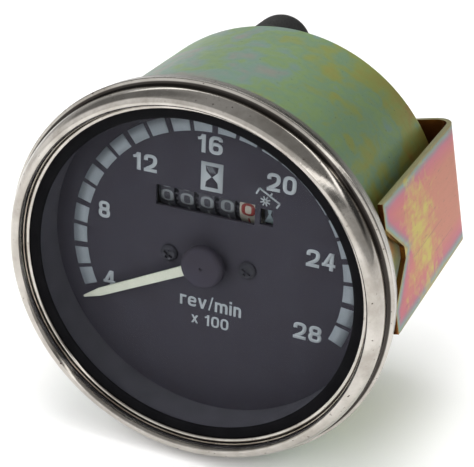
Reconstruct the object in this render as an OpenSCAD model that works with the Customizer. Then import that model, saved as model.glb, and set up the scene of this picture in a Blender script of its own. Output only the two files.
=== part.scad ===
// Mechanical tachometer with hour counter, for a round panel hole.
// The dial faces -Y, +Z is up, and the origin is on the dial's axis in the plane of the
// bezel's rear face, which seats on the panel.

/* [Case] */
// Outside diameter of the case barrel
case_d = 100; // [96:1:120]
// Distance from the bezel's rear face to the back of the case
case_len = 59; // [58:0.5:80]
// Thickness of the case sheet
case_wall = 0.8; // [0.6:0.1:1.2]
// Thickness of the case's back
back_t = 1; // [0.8:0.1:1.5]
// Outside radius of the case's rear corner
case_corner_r = 2; // [1.2:0.2:4]
// Width of the flange round the case's mouth
flange_w = 2.6; // [2.4:0.1:3.4]
// Thickness of the flange
flange_t = 1; // [0.8:0.1:1.4]

/* [Bezel] */
// Thickness of the bezel sheet
bezel_t = 0.7; // [0.5:0.05:0.9]
// How far the skirt's rear edge stands out beyond the case flange
skirt_clear = 0.9; // [0.9:0.1:1.6]
// How far the skirt flares out towards its front edge
skirt_flare = 0.4; // [0:0.1:0.8]
// Depth of the skirt
skirt_h = 3.9; // [3:0.1:4.1]
// How far the crown's side stands in from the skirt
crown_step = 1.3; // [0.8:0.1:1.5]
// How far the crown stands in front of the rear face
crown_h = 10.2; // [9:0.1:12]
// Width of the crown's outer shoulder
shoulder_w = 3; // [2:0.1:3]
// Height of the crown's outer shoulder
shoulder_h = 4.2; // [3:0.1:4.4]
// Width of the crown's inner slope
slope_w = 1.2; // [1:0.1:1.2]
// Width of the lip over the glass
lip_w = 0.8; // [0.6:0.1:0.8]
// Depth of the lip's front face from the rear face
lip_y = 6.8; // [6.5:0.1:7.2]
// Radius of the opening inside the lip
lip_r = 46.8; // [44:0.1:46.8]

/* [Glass and dial] */
// Thickness of the glass
glass_t = 1.8; // [1.6:0.1:2.4]
// Thickness of the black ring between lip and glass
seal_t = 0.7; // [0.5:0.1:1]
// Radius of the opening inside the black ring
seal_r = 44.6; // [43:0.1:46]
// Depth of the dial's face behind the bezel's rear face
dial_y = 6.3; // [5:0.1:10]
// Thickness of the dial plate
dial_t = 1; // [0.8:0.1:1.5]
// Radial thickness of the black spacer between glass and dial
spacer_t = 3; // [2:0.1:4]
// Left edge of the counter window
window_x0 = -15.6; // [-17:0.1:-15]
// Right edge of the counter window
window_x1 = 12.4; // [12:0.1:13]
// Height of the counter window
window_h = 5.8; // [5:0.1:7]
// Width of the small window over the running indicator
run_window_w = 3.6; // [3:0.1:4]
// Height of the small window over the running indicator
run_window_h = 4.6; // [4:0.1:5]
// Distance of each dial screw from the axis
dial_screw_x = 11.3; // [9:0.1:13]
// Diameter of the dial screws' heads
dial_screw_head_d = 4.8; // [4:0.1:6]
// Diameter of the dial screws' shanks
dial_screw_d = 2.5; // [2:0.1:3]

/* [Pointer] */
// Distance from the axis to the pointer's tip
pointer_len = 40.5; // [34:0.5:43]
// Width of the pointer at the hub
pointer_w = 2.9; // [2:0.1:4]
// Length of the tapered tip
pointer_tip_len = 5.5; // [3:0.5:10]
// Thickness of the pointer
pointer_t = 0.6; // [0.4:0.1:1]
// Angle of the resting pointer from twelve o'clock, positive clockwise
pointer_rest = -117; // [-125:1:-110]
// Height of the pointer above the dial
pointer_gap = 2.4; // [1.5:0.1:4]
// Diameter of the black hub cap
hub_d = 12; // [8:0.5:16]
// Height of the hub cap
hub_h = 3; // [2:0.1:4]
// Diameter of the pointer's spindle
spindle_d = 1.6; // [1.4:0.1:2]

/* [Counter] */
// Number of figure drums
drum_count = 5; // [5:1:5]
// Diameter of the figure drums
drum_d = 14; // [13:0.2:14.4]
// Width of a drum's figure band
drum_w = 4.4; // [4:0.1:4.6]
// Distance from one drum to the next
drum_pitch = 5.8; // [5.6:0.1:6]
// Middle of the last drum, to the right of the axis
last_drum_x = 9.2; // [9:0.1:9.4]
// Height of the counter's axle above the axis
counter_z = 16.3; // [16:0.1:18]
// Space between the dial plate and the drums
drum_gap = 2; // [1.5:0.1:3]
// Width of the running indicator's drum
run_drum_w = 3.6; // [3:0.1:4]
// Distance from the last drum's middle to the running indicator's middle
run_drum_step = 6.5; // [6.4:0.1:7]
// Diameter of the counter's axle
axle_d = 2.4; // [2:0.1:3]

/* [Movement] */
// Diameter of the ring magnet
magnet_d = 25.2; // [20:0.2:26]
// Length of the ring magnet
magnet_len = 11; // [8:0.5:12]
// Radial air gap on each side of the drag cup's wall
air_gap = 0.7; // [0.5:0.1:1]
// Thickness of the drag cup
cup_t = 0.6; // [0.4:0.1:1]
// Thickness of the soft-iron return cup
flux_t = 1.6; // [1:0.1:2]
// Diameter of the drive shaft
shaft_d = 6; // [5:0.1:6.4]
// Thickness of the rear frame plate
rear_plate_t = 3; // [2:0.5:4]
// Thickness of the front frame plate
front_plate_t = 2; // [1.5:0.1:3]
// Space between the dial plate and the front frame plate
front_plate_gap = 4.7; // [4:0.1:6]
// Outside radius of the drive worm
worm_a_r = 3.6; // [3.4:0.1:4]
// Outside radius of the wheel on the cross shaft
wheel_a_r = 7.5; // [7:0.1:8]
// Teeth on the wheel on the cross shaft
wheel_a_teeth = 20; // [16:1:24]
// Outside radius of the cross shaft's worm
worm_b_r = 2.2; // [2:0.1:2.4]
// Teeth on the wheel on the counter shaft
wheel_b_teeth = 25; // [20:1:30]
// Outside radius of the counter shaft's worm
worm_c_r = 2; // [1.8:0.1:2.2]
// Outside radius of the wheel beside the running indicator
wheel_c_r = 6.3; // [6:0.1:6.4]
// Teeth on the wheel beside the running indicator
wheel_c_teeth = 18; // [14:1:20]
// Diameter of the cross and counter shafts
small_shaft_d = 2.4; // [2:0.1:2.6]
// Turns of the hairspring
spring_turns = 5; // [3:1:7]

/* [Bracket] */
// Width of the bracket's strap
strap_w = 35.4; // [30:0.2:44]
// Thickness of the strap
strap_t = 1.4; // [1.2:0.1:2]
// Outside radius of the strap's two bends
bend_r = 6; // [3:0.5:7]
// Space between the barrel and a leg's inner face, at the notch's bottom
leg_clear = 0.5; // [0.3:0.1:3]
// How far the legs lean in towards their feet, in degrees
leg_lean = 2.6; // [0:0.2:3]
// Turn of the bracket about the axis, seen from the front, anticlockwise, in degrees
bracket_turn = 12.4; // [0:0.4:20]
// Space between the feet and the bezel's rear face, with the nuts run down
foot_gap = 2.6; // [0.5:0.1:6]
// Depth of the notch between the feet
notch_depth = 11.3; // [8:0.1:16]
// Half width of the notch at the feet
notch_mouth = 11; // [8:0.1:13]
// Half width of the notch's bottom
notch_floor = 1.5; // [1:0.1:3]

/* [Rear fittings] */
// Distance of each bracket stud from the axis
stud_r = 32; // [28:1:34]
// Diameter of the bracket studs
stud_d = 6; // [4:1:6]
// How far the studs stand out behind the case
stud_out = 20; // [19:1:24]
// Diameter of the drive connector's thread
nipple_d = 18; // [16:1:20]
// How far the drive connector stands out behind the case
nipple_out = 16; // [12:1:22]
// Diameter of the lamp holder's boot
boot_d = 17.8; // [15:0.2:18]
// How far the boot stands out behind the case
boot_out = 16.7; // [14:0.1:20]
// Sideways place of the lamp holder
lamp_x = -6.5; // [-8:0.5:8]
// Height of the lamp holder above the axis
lamp_z = 39.8; // [34:0.1:40]

/* [Fits] */
// Radial clearance between the case and the bezel's turned-in edge
bezel_fit = 0.5; // [0.3:0.1:0.8]
// Radial clearance of a running shaft
run_fit = 0.04; // [0.02:0.01:0.08]
// Gap left between gear teeth and between parts that pass each other
mesh_gap = 0.3; // [0.2:0.05:0.4]

/* [Hidden] */
$fn = 72;
eps = 0.01;
drum_names = ["drum_1", "drum_2", "drum_3", "drum_4", "drum_5"];
pinion_names = ["pinion_1", "pinion_2", "pinion_3", "pinion_4", "pinion_5"];

zinc_yellow = "#6f7a45";
bright_steel = "#c9c5bd";
dull_steel = "#8d8f91";
brass_tone = "#b99b58";
black_tone = "#222226";

case_r = case_d / 2;
case_in_r = case_r - case_wall;
flange_r = case_r + flange_w;
skirt_r = flange_r + skirt_clear;
skirt_in_r = skirt_r - bezel_t;
side_r = skirt_r - crown_step;
crown_mid_r = side_r - shoulder_w;
slope_h = crown_h - lip_y - 0.5;
glass_front = -lip_y + bezel_t + seal_t;
glass_back = glass_front + glass_t;
glass_r = side_r - bezel_t - 0.3;
back_in = case_len - back_t;
rear_plate_y = back_in - rear_plate_t;
washer_t = 1.6;
stud_nut_h = 5.2;
bridge_y = case_len + washer_t + stud_nut_h;
strap_back = bridge_y + strap_t;
leg_r = case_r + leg_clear + strap_t / cos(leg_lean)
    + tan(leg_lean) * (strap_back - foot_gap - notch_depth);

dial_r = case_in_r - 0.4;
dial_back = dial_y + dial_t;
window_z = counter_z;
last_gear_x = last_drum_x + drum_w / 2 + 1;
run_x = last_drum_x + run_drum_step;

drum_r = drum_d / 2;
drum_gear_r = drum_r - 0.8;
drum_gear_w = 1;
drum_gear_teeth = 20;
counter_y = dial_back + drum_gap + drum_r;
pinion_r = 2.3;
pinion_teeth = 8;
pinion_step = drum_gear_r + pinion_r + mesh_gap;
pinion_y = counter_y + pinion_step * cos(45);
pinion_z = counter_z + pinion_step * sin(45);
pinion_w = 1.1;
pinion_shaft_r = 0.8;
cheek_t = 1;
cheek_left = last_drum_x - (drum_count - 1) * drum_pitch - drum_w / 2 - 2;
wheel_c_x0 = run_x + run_drum_w / 2 + 0.2;
wheel_w = 3;
cheek_right = wheel_c_x0 + wheel_w + 0.6;
shelf_z = counter_z - drum_r - 1.3;
shelf_t = 0.8;

cup_y = counter_y + drum_r + 0.7;
magnet_r = magnet_d / 2;
magnet_y = cup_y + cup_t + 1.4;
cup_in_r = magnet_r + air_gap;
cup_out_r = cup_in_r + cup_t;
flux_in_r = cup_out_r + air_gap;
flux_out_r = flux_in_r + flux_t;
web_t = 1.2;
flux_back = magnet_y + magnet_len + web_t;
worm_len = 7;
worm_a_y = rear_plate_y - wheel_a_r - 0.5;
cross_z = worm_a_r + wheel_a_r + mesh_gap;
counter_shaft_x = wheel_c_x0 + wheel_w / 2;
counter_shaft_z = counter_z + wheel_c_r + worm_c_r + mesh_gap;
wheel_b_r = counter_shaft_z - cross_z - worm_b_r - mesh_gap;
cross_left = -8;
cross_right = counter_shaft_x + worm_len / 2 + 4;
post_t = 2;
shaft_end = case_len + nipple_out - 5;
spindle_r = spindle_d / 2;
spindle_front = dial_y - pointer_gap - pointer_t - 0.3;
spindle_back = magnet_y + 4;
front_plate_y = dial_back + front_plate_gap;
front_plate_back = front_plate_y + front_plate_t;
front_plate_r = 33;
collet_y = front_plate_back + 1;
spring_y = collet_y + 3;
spring_r = min(7, shelf_z - 1);
spring_in_r = 2.2;
stud_post_r = 1;
pillar_r = 2.5;
pillar_places = [[-24, 14], [27, -10], [-14, -25]];
rear_plate_r = stud_r + 6;
nut_flats = 24;
nut_t = 3.5;
stud_nut_flats = 10;
stud_places = [[cos(bracket_turn), sin(bracket_turn)], [-cos(bracket_turn), -sin(bracket_turn)]];

// A cylinder along Y, between two depths
module disc(r, y0, y1) {
    translate([0, y0, 0]) rotate([-90, 0, 0]) cylinder(r = r, h = y1 - y0);
}

// A tube along Y, between two depths
module ring(outer, inner, y0, y1) {
    difference() {
        disc(outer, y0, y1);
        disc(inner, y0 - 1, y1 + 1);
    }
}

// A solid turned about the Y axis from points of radius and depth
module turned(points) {
    rotate([-90, 0, 0]) rotate_extrude() polygon(points);
}

// A flat shape, drawn as seen from the front, between two depths
module plate(y0, y1) {
    translate([0, y1, 0]) rotate([90, 0, 0]) linear_extrude(height = y1 - y0) children();
}

// A cylinder along X at a depth and height
module rod_x(r, x0, x1, y, z) {
    translate([x0, y, z]) rotate([0, 90, 0]) cylinder(r = r, h = x1 - x0);
}

// Moves its children sideways and up
module at(x, z) {
    translate([x, 0, z]) children();
}

// A flat gear outline with straight-sided teeth
module gear_outline(teeth, tip_r, root_r) {
    step = 360 / teeth;
    polygon([for (i = [0 : teeth - 1], k = [[0, root_r], [0.18, tip_r], [0.42, tip_r], [0.6, root_r]])
        k[1] * [cos((i + k[0]) * step), sin((i + k[0]) * step)]]);
}

// A worm along Z, with its threads as ridges
module worm(outer, inner, length) {
    ridges = 3;
    step = length / ridges;
    rotate_extrude() polygon(concat([[0, 0], [inner, 0]],
        [for (i = [0 : ridges - 1], k = [[0.2, inner], [0.42, outer], [0.58, outer], [0.8, inner]])
            [k[1], (i + k[0]) * step]],
        [[inner, length], [0, length]]));
}

// Points of the crown's section, from its side over the front and down the inner slope
function crown_arc(inset) = concat(
    [for (a = [0 : 7.5 : 90]) [crown_mid_r + (shoulder_w - inset) * cos(a),
        -(crown_h - shoulder_h) - (shoulder_h - inset) * sin(a)]],
    [for (a = [75 : -15 : 0]) [crown_mid_r - (slope_w - inset) * cos(a),
        -(crown_h - slope_h) - (slope_h - inset) * sin(a)]]);

// Drawn steel can with a flange round its mouth and a closed back
module case_can() {
    corner = [for (a = [0 : 15 : 90])
        [case_r - case_corner_r * (1 - cos(a)), case_len - case_corner_r * (1 - sin(a))]];
    inner_corner_r = case_corner_r - case_wall;
    inner_corner = [for (a = [90 : -15 : 0])
        [case_in_r - inner_corner_r * (1 - cos(a)), back_in - inner_corner_r * (1 - sin(a))]];
    flange_back = -bezel_t;
    color(zinc_yellow) difference() {
        turned(concat([[flange_r, flange_back - flange_t], [flange_r, flange_back],
            [case_r, flange_back]], corner, [[0, case_len], [0, back_in]], inner_corner,
            [[case_in_r, flange_back - flange_t]]));
        disc(nipple_d / 2, back_in - 1, case_len + 1);
        for (p = stud_places) at(stud_r * p[0], stud_r * p[1]) disc(stud_d / 2, back_in - 1, case_len + 1);
        at(lamp_x, lamp_z) disc(lamp_shell_r, back_in - 1, case_len + 1);
    }
}

// Rolled bezel: lip, half-round crown, crease and skirt, turned in under the case flange
module bezel() {
    crease_y = -skirt_h - 0.7;
    seat_r = case_r + bezel_fit;
    color(bright_steel) turned(concat(
        [[seat_r, 0], [skirt_r - 0.4, 0], [skirt_r, -0.4], [skirt_r + skirt_flare, -skirt_h],
            [skirt_r + skirt_flare - 0.1, -skirt_h - 0.25], [side_r + 0.15, crease_y], [side_r, crease_y - 0.2]],
        crown_arc(0),
        [[lip_r + lip_w + 0.4, -lip_y - 0.05], [lip_r + lip_w, -lip_y - 0.3], [lip_r + 0.4, -lip_y - 0.25],
            [lip_r, -lip_y + 0.15], [lip_r, -lip_y + bezel_t], [lip_r + lip_w + 1, -lip_y + bezel_t]],
        reversed(crown_arc(bezel_t)),
        [[side_r - bezel_t, crease_y + 0.5], [skirt_in_r, crease_y + 1.1], [skirt_in_r, -bezel_t],
            [seat_r, -bezel_t]]));
}

// Flat glass under the lip
module glass() {
    color("#cfe0e0", 0.35) disc(glass_r, glass_front, glass_back);
}

// Black rubber ring between the lip and the glass, with a chamfered inner edge
module glass_seal() {
    front = -lip_y + bezel_t;
    color(black_tone) turned([[seal_r, glass_front], [seal_r, glass_front - 0.2], [seal_r + 0.5, front],
        [glass_r, front], [glass_r, glass_front]]);
}

// Rubber ring between the glass and the case flange
module gasket() {
    color(black_tone) ring(glass_r + 0.4, case_in_r + 0.3, glass_back, -bezel_t - flange_t);
}

// Black ring that holds the dial away from the glass
module spacer_ring() {
    color(black_tone) ring(dial_r, dial_r - spacer_t, glass_back, dial_y);
}

// Dial plate with its windows and holes
module dial_plate() {
    color("#3a393d") plate(dial_y, dial_back) difference() {
        circle(r = dial_r);
        translate([window_x0, window_z - window_h / 2]) square([window_x1 - window_x0, window_h]);
        translate([run_x - run_window_w / 2, window_z - run_window_h / 2])
            square([run_window_w, run_window_h]);
        circle(r = spindle_r + 1.2);
        for (side = [-1, 1]) translate([side * dial_screw_x, 0]) circle(d = dial_screw_d);
    }
}

// Two cross-recessed screws that hold the dial to its posts
module dial_screws() {
    head_h = 1.3;
    recess_w = 0.8;
    recess_len = 2.8;
    color(black_tone) for (side = [-1, 1]) at(side * dial_screw_x, 0) difference() {
        union() {
            turned([[0, dial_y - head_h], [dial_screw_head_d / 2 - 0.6, dial_y - head_h],
                [dial_screw_head_d / 2, dial_y - head_h + 0.5], [dial_screw_head_d / 2, dial_y], [0, dial_y]]);
            disc(dial_screw_d / 2, dial_y - eps, front_plate_back);
        }
        for (a = [30, 120]) rotate([0, a, 0]) translate([-recess_len / 2, dial_y - head_h - 1, -recess_w / 2])
            cube([recess_len, 1 + head_h * 0.6, recess_w]);
    }
}

// Pointer blade with its tapered tip
module pointer() {
    y1 = dial_y - pointer_gap;
    half = pointer_w / 2;
    blade = [[-half, 0], [-half * 0.8, pointer_len - pointer_tip_len], [-0.25, pointer_len],
        [0.25, pointer_len], [half * 0.8, pointer_len - pointer_tip_len], [half, 0]];
    color("#c9c9b4") plate(y1 - pointer_t, y1) rotate(-pointer_rest) difference() {
        union() {
            polygon(blade);
            circle(r = hub_d / 2 - 1.2);
        }
        circle(r = spindle_r);
    }
}

// Black cap over the pointer's hub
module hub_cap() {
    front = dial_y - pointer_gap - hub_h + 1;
    blade_front = dial_y - pointer_gap - pointer_t;
    color(black_tone) turned([[0, front], [hub_d / 2 - 0.8, front], [hub_d / 2, front + 0.8],
        [hub_d / 2, blade_front], [spindle_r, blade_front], [spindle_r, spindle_front],
        [0, spindle_front]]);
}

// Spindle that carries the pointer, the spring's collet and the drag cup
module spindle() {
    color(bright_steel) disc(spindle_r, spindle_front, spindle_back);
}

// Brass collet that grips the spring's inner end, with the arm that meets the stops
module spring_collet() {
    arm_t = 1;
    color(brass_tone) {
        ring(spring_in_r - 0.2, spindle_r, collet_y, spring_y + 1.6);
        plate(collet_y, collet_y + arm_t) rotate(-pointer_rest) difference() {
            translate([-0.6, 0]) square([1.2, stop_ring_r]);
            circle(r = spring_in_r - 0.2 - eps);
        }
    }
}
stop_ring_r = spring_r - 0.6;
stop_pin_r = 0.6;

// Flat spiral spring, from the collet out to its post
module hairspring() {
    strip_t = 0.18;
    steps = 24 * spring_turns;
    r0 = spring_in_r - 0.2;
    r1 = spring_r - strip_t;
    function spiral(i, add) =
        let (a = -90 - 360 * spring_turns * (1 - i / steps), r = r0 + (r1 - r0) * i / steps + add)
        r * [cos(a), sin(a)];
    color(brass_tone) plate(spring_y, spring_y + 1) polygon(concat(
        [for (i = [0 : steps]) spiral(i, 0)],
        [for (i = [steps : -1 : 0]) spiral(i, strip_t)]));
}

// Post that holds the spring's outer end
module spring_stud() {
    color(brass_tone) at(0, -spring_r - stud_post_r) disc(stud_post_r, front_plate_back, spring_y + 1.6);
}

// Aluminium cup that the turning magnet drags round
module drag_cup() {
    color("#b8babd") turned([[spindle_r, cup_y - 2], [2.6, cup_y - 2], [2.6, cup_y],
        [cup_out_r - 0.6, cup_y], [cup_out_r, cup_y + 0.6], [cup_out_r, magnet_y + magnet_len - 1],
        [cup_in_r, magnet_y + magnet_len - 1], [cup_in_r, cup_y + cup_t], [spindle_r, cup_y + cup_t]]);
}

// Ring magnet pressed on the drive shaft
module magnet() {
    color("#55585c") turned([[shaft_d / 2, magnet_y], [magnet_r - 0.6, magnet_y],
        [magnet_r, magnet_y + 0.6], [magnet_r, magnet_y + magnet_len],
        [shaft_d / 2, magnet_y + magnet_len]]);
}

// Soft-iron cup that closes the magnet's field and turns with it
module return_cup() {
    color(dull_steel) turned([[shaft_d / 2, flux_back], [flux_out_r - 0.8, flux_back],
        [flux_out_r, flux_back - 0.8], [flux_out_r, magnet_y - 0.4], [flux_in_r, magnet_y - 0.4],
        [flux_in_r, flux_back - web_t], [shaft_d / 2, flux_back - web_t]]);
}

// Drive shaft with its worm and the square socket for the drive cable
module drive_shaft() {
    socket_w = 3.2;
    socket_depth = 8;
    color(bright_steel) difference() {
        union() {
            disc(shaft_d / 2, magnet_y, shaft_end);
            translate([0, worm_a_y - worm_len / 2, 0]) rotate([-90, 0, 0])
                worm(worm_a_r, shaft_d / 2, worm_len);
        }
        disc(spindle_r + run_fit, magnet_y - 1, spindle_back + 0.3);
        translate([-socket_w / 2, shaft_end - socket_depth, -socket_w / 2])
            cube([socket_w, socket_depth + 1, socket_w]);
    }
}

// Plain bronze bush between the drive shaft and the connector
module shaft_bush() {
    color(brass_tone) ring(nipple_bore_r, shaft_d / 2 + run_fit, rear_plate_y, shaft_end - 6);
}
nipple_bore_r = shaft_d / 2 + 1.6;

// Front frame plate, open at the top for the counter, with posts for the dial
module front_plate() {
    color(dull_steel) difference() {
        union() {
            plate(front_plate_y, front_plate_back) difference() {
                circle(r = front_plate_r);
                translate([cheek_left - 0.3, shelf_z])
                    square([cheek_right - cheek_left + cheek_t + 0.6, front_plate_r]);
            }
            for (side = [-1, 1]) at(side * dial_screw_x, 0) disc(dial_screw_d / 2 + 1.4, dial_back, front_plate_y);
        }
        for (side = [-1, 1]) at(side * dial_screw_x, 0) disc(dial_screw_d / 2, dial_back - 1, front_plate_back + 1);
        for (p = pillar_places) at(p[0], p[1]) disc(1.5, front_plate_y - 1, front_plate_back + 1);
        disc(bearing_r, front_plate_y - 1, front_plate_back + 1);
    }
}
bearing_r = 3.2;

// Brass bearing of the pointer's spindle
module front_bearing() {
    color(brass_tone) turned([[spindle_r + run_fit, front_plate_y - 1], [bearing_r - 0.8, front_plate_y - 1],
        [bearing_r, front_plate_y], [bearing_r, front_plate_back], [bearing_r - 1, front_plate_back + 0.7],
        [spindle_r + run_fit, front_plate_back + 0.7]]);
}

// Stop pins at the two ends of the pointer's sweep
module stop_pins() {
    // The arm is 0.6 mm each side of its line, and the pins clear it by a small angle
    clear_angle = asin((0.6 + stop_pin_r + 0.15) / (stop_ring_r - 1));
    color(bright_steel) for (a = [pointer_rest - clear_angle, -pointer_rest + clear_angle])
        at((stop_ring_r - 1) * sin(a), (stop_ring_r - 1) * cos(a))
            disc(stop_pin_r, front_plate_back, collet_y + 1.3);
}

// Pillars between the two frame plates
module pillars() {
    color(bright_steel) for (p = pillar_places) at(p[0], p[1])
        translate([0, front_plate_back, 0]) rotate([-90, 0, 0])
            cylinder(r = pillar_r, h = rear_plate_y - front_plate_back, $fn = 6);
}

// Screws through the front plate into the pillars
module pillar_screws() {
    color(bright_steel) for (p = pillar_places) at(p[0], p[1]) difference() {
        union() {
            disc(2.6, front_plate_y - 1.6, front_plate_y);
            disc(1.5, front_plate_y - eps, front_plate_back);
        }
        translate([-5, front_plate_y - 2, -0.4]) cube([10, 1.2, 0.8]);
    }
}

// Cast rear plate with the posts that carry the cross shaft
module rear_plate() {
    post_half = 2.6;
    color(dull_steel) difference() {
        union() {
            disc(rear_plate_r, rear_plate_y, back_in);
            for (x = [cross_left + 1, cross_right - 1 - post_t])
                translate([x, worm_a_y - post_half, cross_z - post_half])
                    cube([post_t, rear_plate_y - worm_a_y + post_half, 2 * post_half]);
            at(counter_shaft_x, counter_shaft_z) disc(3.4, rear_plate_y - 2, rear_plate_y);
        }
        rod_x(small_shaft_d / 2 + run_fit, cross_left, cross_right, worm_a_y, cross_z);
        at(counter_shaft_x, counter_shaft_z) disc(small_shaft_d / 2 + run_fit, rear_plate_y - 3, back_in + 1);
        disc(nipple_d / 2, rear_plate_y - 1, back_in + 1);
        for (p = stud_places) at(stud_r * p[0], stud_r * p[1]) disc(stud_d / 2, rear_plate_y - 1, back_in + 1);
        at(lamp_x, lamp_z) disc(lamp_shell_r + 1, rear_plate_y - 1, back_in + 1);
    }
}

// Cross shaft with its own worm at the right
module cross_shaft() {
    color(bright_steel) {
        rod_x(small_shaft_d / 2, cross_left, cross_right, worm_a_y, cross_z);
        translate([counter_shaft_x - worm_len / 2, worm_a_y, cross_z]) rotate([0, 90, 0])
            worm(worm_b_r, small_shaft_d / 2 + 0.1, worm_len);
    }
}

// Wheel that the drive worm turns
module cross_wheel() {
    color("#d9d4c4") translate([-wheel_w / 2, worm_a_y, cross_z]) rotate([0, 90, 0]) difference() {
        union() {
            linear_extrude(height = wheel_w) gear_outline(wheel_a_teeth, wheel_a_r, wheel_a_r - 1.1);
            cylinder(r = 2.6, h = wheel_w + 1.5);
        }
        translate([0, 0, -1]) cylinder(r = small_shaft_d / 2, h = wheel_w + 4);
    }
}

// Counter shaft, which runs forward to the counter and ends in a worm
module counter_shaft() {
    front = counter_y - worm_len / 2 - 2.8;
    color(bright_steel) at(counter_shaft_x, counter_shaft_z) {
        disc(small_shaft_d / 2, front, back_in - 0.5);
        translate([0, counter_y - worm_len / 2, 0]) rotate([-90, 0, 0])
            worm(worm_c_r, small_shaft_d / 2 + 0.1, worm_len);
    }
}

// Wheel that the cross shaft's worm turns
module counter_wheel() {
    color("#d9d4c4") at(counter_shaft_x, counter_shaft_z) difference() {
        union() {
            plate(worm_a_y - wheel_w / 2, worm_a_y + wheel_w / 2)
                gear_outline(wheel_b_teeth, wheel_b_r, wheel_b_r - 1.2);
            disc(3, worm_a_y - wheel_w / 2 - 1.5, worm_a_y);
        }
        disc(small_shaft_d / 2, worm_a_y - wheel_w, worm_a_y + wheel_w);
    }
}

// Frame of the counter: two cheeks on a shelf, and a lug for the counter shaft
module counter_frame() {
    cheek_front = dial_back + 1;
    cheek_back = pinion_y + 3;
    cheek_top = counter_shaft_z + 2.2;
    lug_y = counter_y - worm_len / 2 - 2.8;
    color(dull_steel) difference() {
        union() {
            for (x = [cheek_left, cheek_right]) translate([x, 0, 0])
                rotate([90, 0, 90]) linear_extrude(height = cheek_t) polygon([[cheek_front, shelf_z],
                    [cheek_back, shelf_z], [cheek_back, cheek_top - 2], [cheek_back - 2, cheek_top],
                    [cheek_front + 2, cheek_top], [cheek_front, cheek_top - 2]]);
            translate([cheek_left, front_plate_y, shelf_z])
                cube([cheek_right + cheek_t - cheek_left, counter_y + 4 - front_plate_y, shelf_t]);
            translate([counter_shaft_x - 2.2, lug_y, counter_shaft_z - 2.2])
                cube([cheek_right - counter_shaft_x + 2.2 + eps, 2, 4.4]);
        }
        rod_x(axle_d / 2, cheek_left - 1, cheek_right + cheek_t + 1, counter_y, counter_z);
        rod_x(pinion_shaft_r, cheek_left - 1, cheek_right + cheek_t + 1, pinion_y, pinion_z);
        at(counter_shaft_x, counter_shaft_z) disc(small_shaft_d / 2 + run_fit, lug_y - 1, lug_y + 3);
    }
}

// Fixed axle of the figure drums
module counter_axle() {
    color(bright_steel) rod_x(axle_d / 2, cheek_left, cheek_right + cheek_t, counter_y, counter_z);
}

// Fixed rod of the transfer pinions
module pinion_shaft() {
    color(bright_steel) rod_x(pinion_shaft_r, cheek_left, cheek_right + cheek_t, pinion_y, pinion_z);
}

// Figure drum with the gear that its transfer pinion turns
module drum(i) {
    x = last_drum_x - (drum_count - i) * drum_pitch;
    color(i == drum_count ? "#e6e2d6" : black_tone) translate([x, counter_y, counter_z])
        rotate([0, 90, 0]) difference() {
            union() {
                translate([0, 0, -drum_w / 2]) cylinder(r = drum_r, h = drum_w);
                linear_extrude(height = drum_w / 2 + drum_gear_w)
                    gear_outline(drum_gear_teeth, drum_gear_r, drum_gear_r - 0.8);
            }
            translate([0, 0, -drum_w]) cylinder(r = axle_d / 2 + run_fit, h = 3 * drum_w);
        }
}

// Running indicator: a drum and the wheel that the counter shaft's worm turns
module run_indicator() {
    color(black_tone) translate([run_x, counter_y, counter_z]) rotate([0, 90, 0]) difference() {
        union() {
            translate([0, 0, -run_drum_w / 2]) cylinder(r = drum_r - 0.2, h = run_drum_w);
            cylinder(r = 3.4, h = run_drum_w / 2 + 0.2 + eps);
            translate([0, 0, run_drum_w / 2 + 0.2]) linear_extrude(height = wheel_w)
                gear_outline(wheel_c_teeth, wheel_c_r, wheel_c_r - 0.9);
        }
        translate([0, 0, -run_drum_w]) cylinder(r = axle_d / 2 + run_fit, h = 4 * run_drum_w);
    }
}

// Transfer pinion to the right of a drum
module pinion(i) {
    x = last_drum_x - (drum_count - i) * drum_pitch + drum_w / 2 + 0.15;
    color("#d9d4c4") translate([x, pinion_y, pinion_z]) rotate([0, 90, 0]) difference() {
        linear_extrude(height = pinion_w) gear_outline(pinion_teeth, pinion_r, pinion_r - 0.7);
        translate([0, 0, -1]) cylinder(r = pinion_shaft_r + run_fit, h = pinion_w + 2);
    }
}

// Threaded connector for the drive cable, with a relief behind its nut and a chamfered mouth
module drive_nipple() {
    nipple_r = nipple_d / 2;
    mouth = case_len + nipple_out;
    mouth_r = nipple_r - 2.2;
    relief_y = case_len + nut_t;
    color(bright_steel) turned([[nipple_bore_r, rear_plate_y], [nipple_r, rear_plate_y],
        [nipple_r, relief_y], [nipple_r - 0.8, relief_y + 0.3], [nipple_r - 0.8, relief_y + 0.9],
        [nipple_r, relief_y + 1.5], [nipple_r, mouth - 1], [nipple_r - 1, mouth], [mouth_r, mouth],
        [mouth_r, shaft_end - 6], [nipple_bore_r, shaft_end - 6]]);
}

// Thin nut that clamps the connector and the movement to the case's back
module nipple_nut() {
    color(bright_steel) translate([0, case_len, 0]) rotate([-90, 0, 0]) difference() {
        cylinder(d = nut_flats / cos(30), h = nut_t, $fn = 6);
        translate([0, 0, -1]) cylinder(r = nipple_d / 2, h = 6);
    }
}

// Two bracket studs with their heads on the rear plate
module bracket_studs() {
    color(bright_steel) for (p = stud_places) at(stud_r * p[0], stud_r * p[1])
        turned([[0, rear_plate_y - 2], [stud_d * 0.9, rear_plate_y - 2], [stud_d * 0.9, rear_plate_y],
            [stud_d / 2, rear_plate_y], [stud_d / 2, case_len + stud_out - 0.8],
            [stud_d / 2 - 0.8, case_len + stud_out], [0, case_len + stud_out]]);
}

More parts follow.
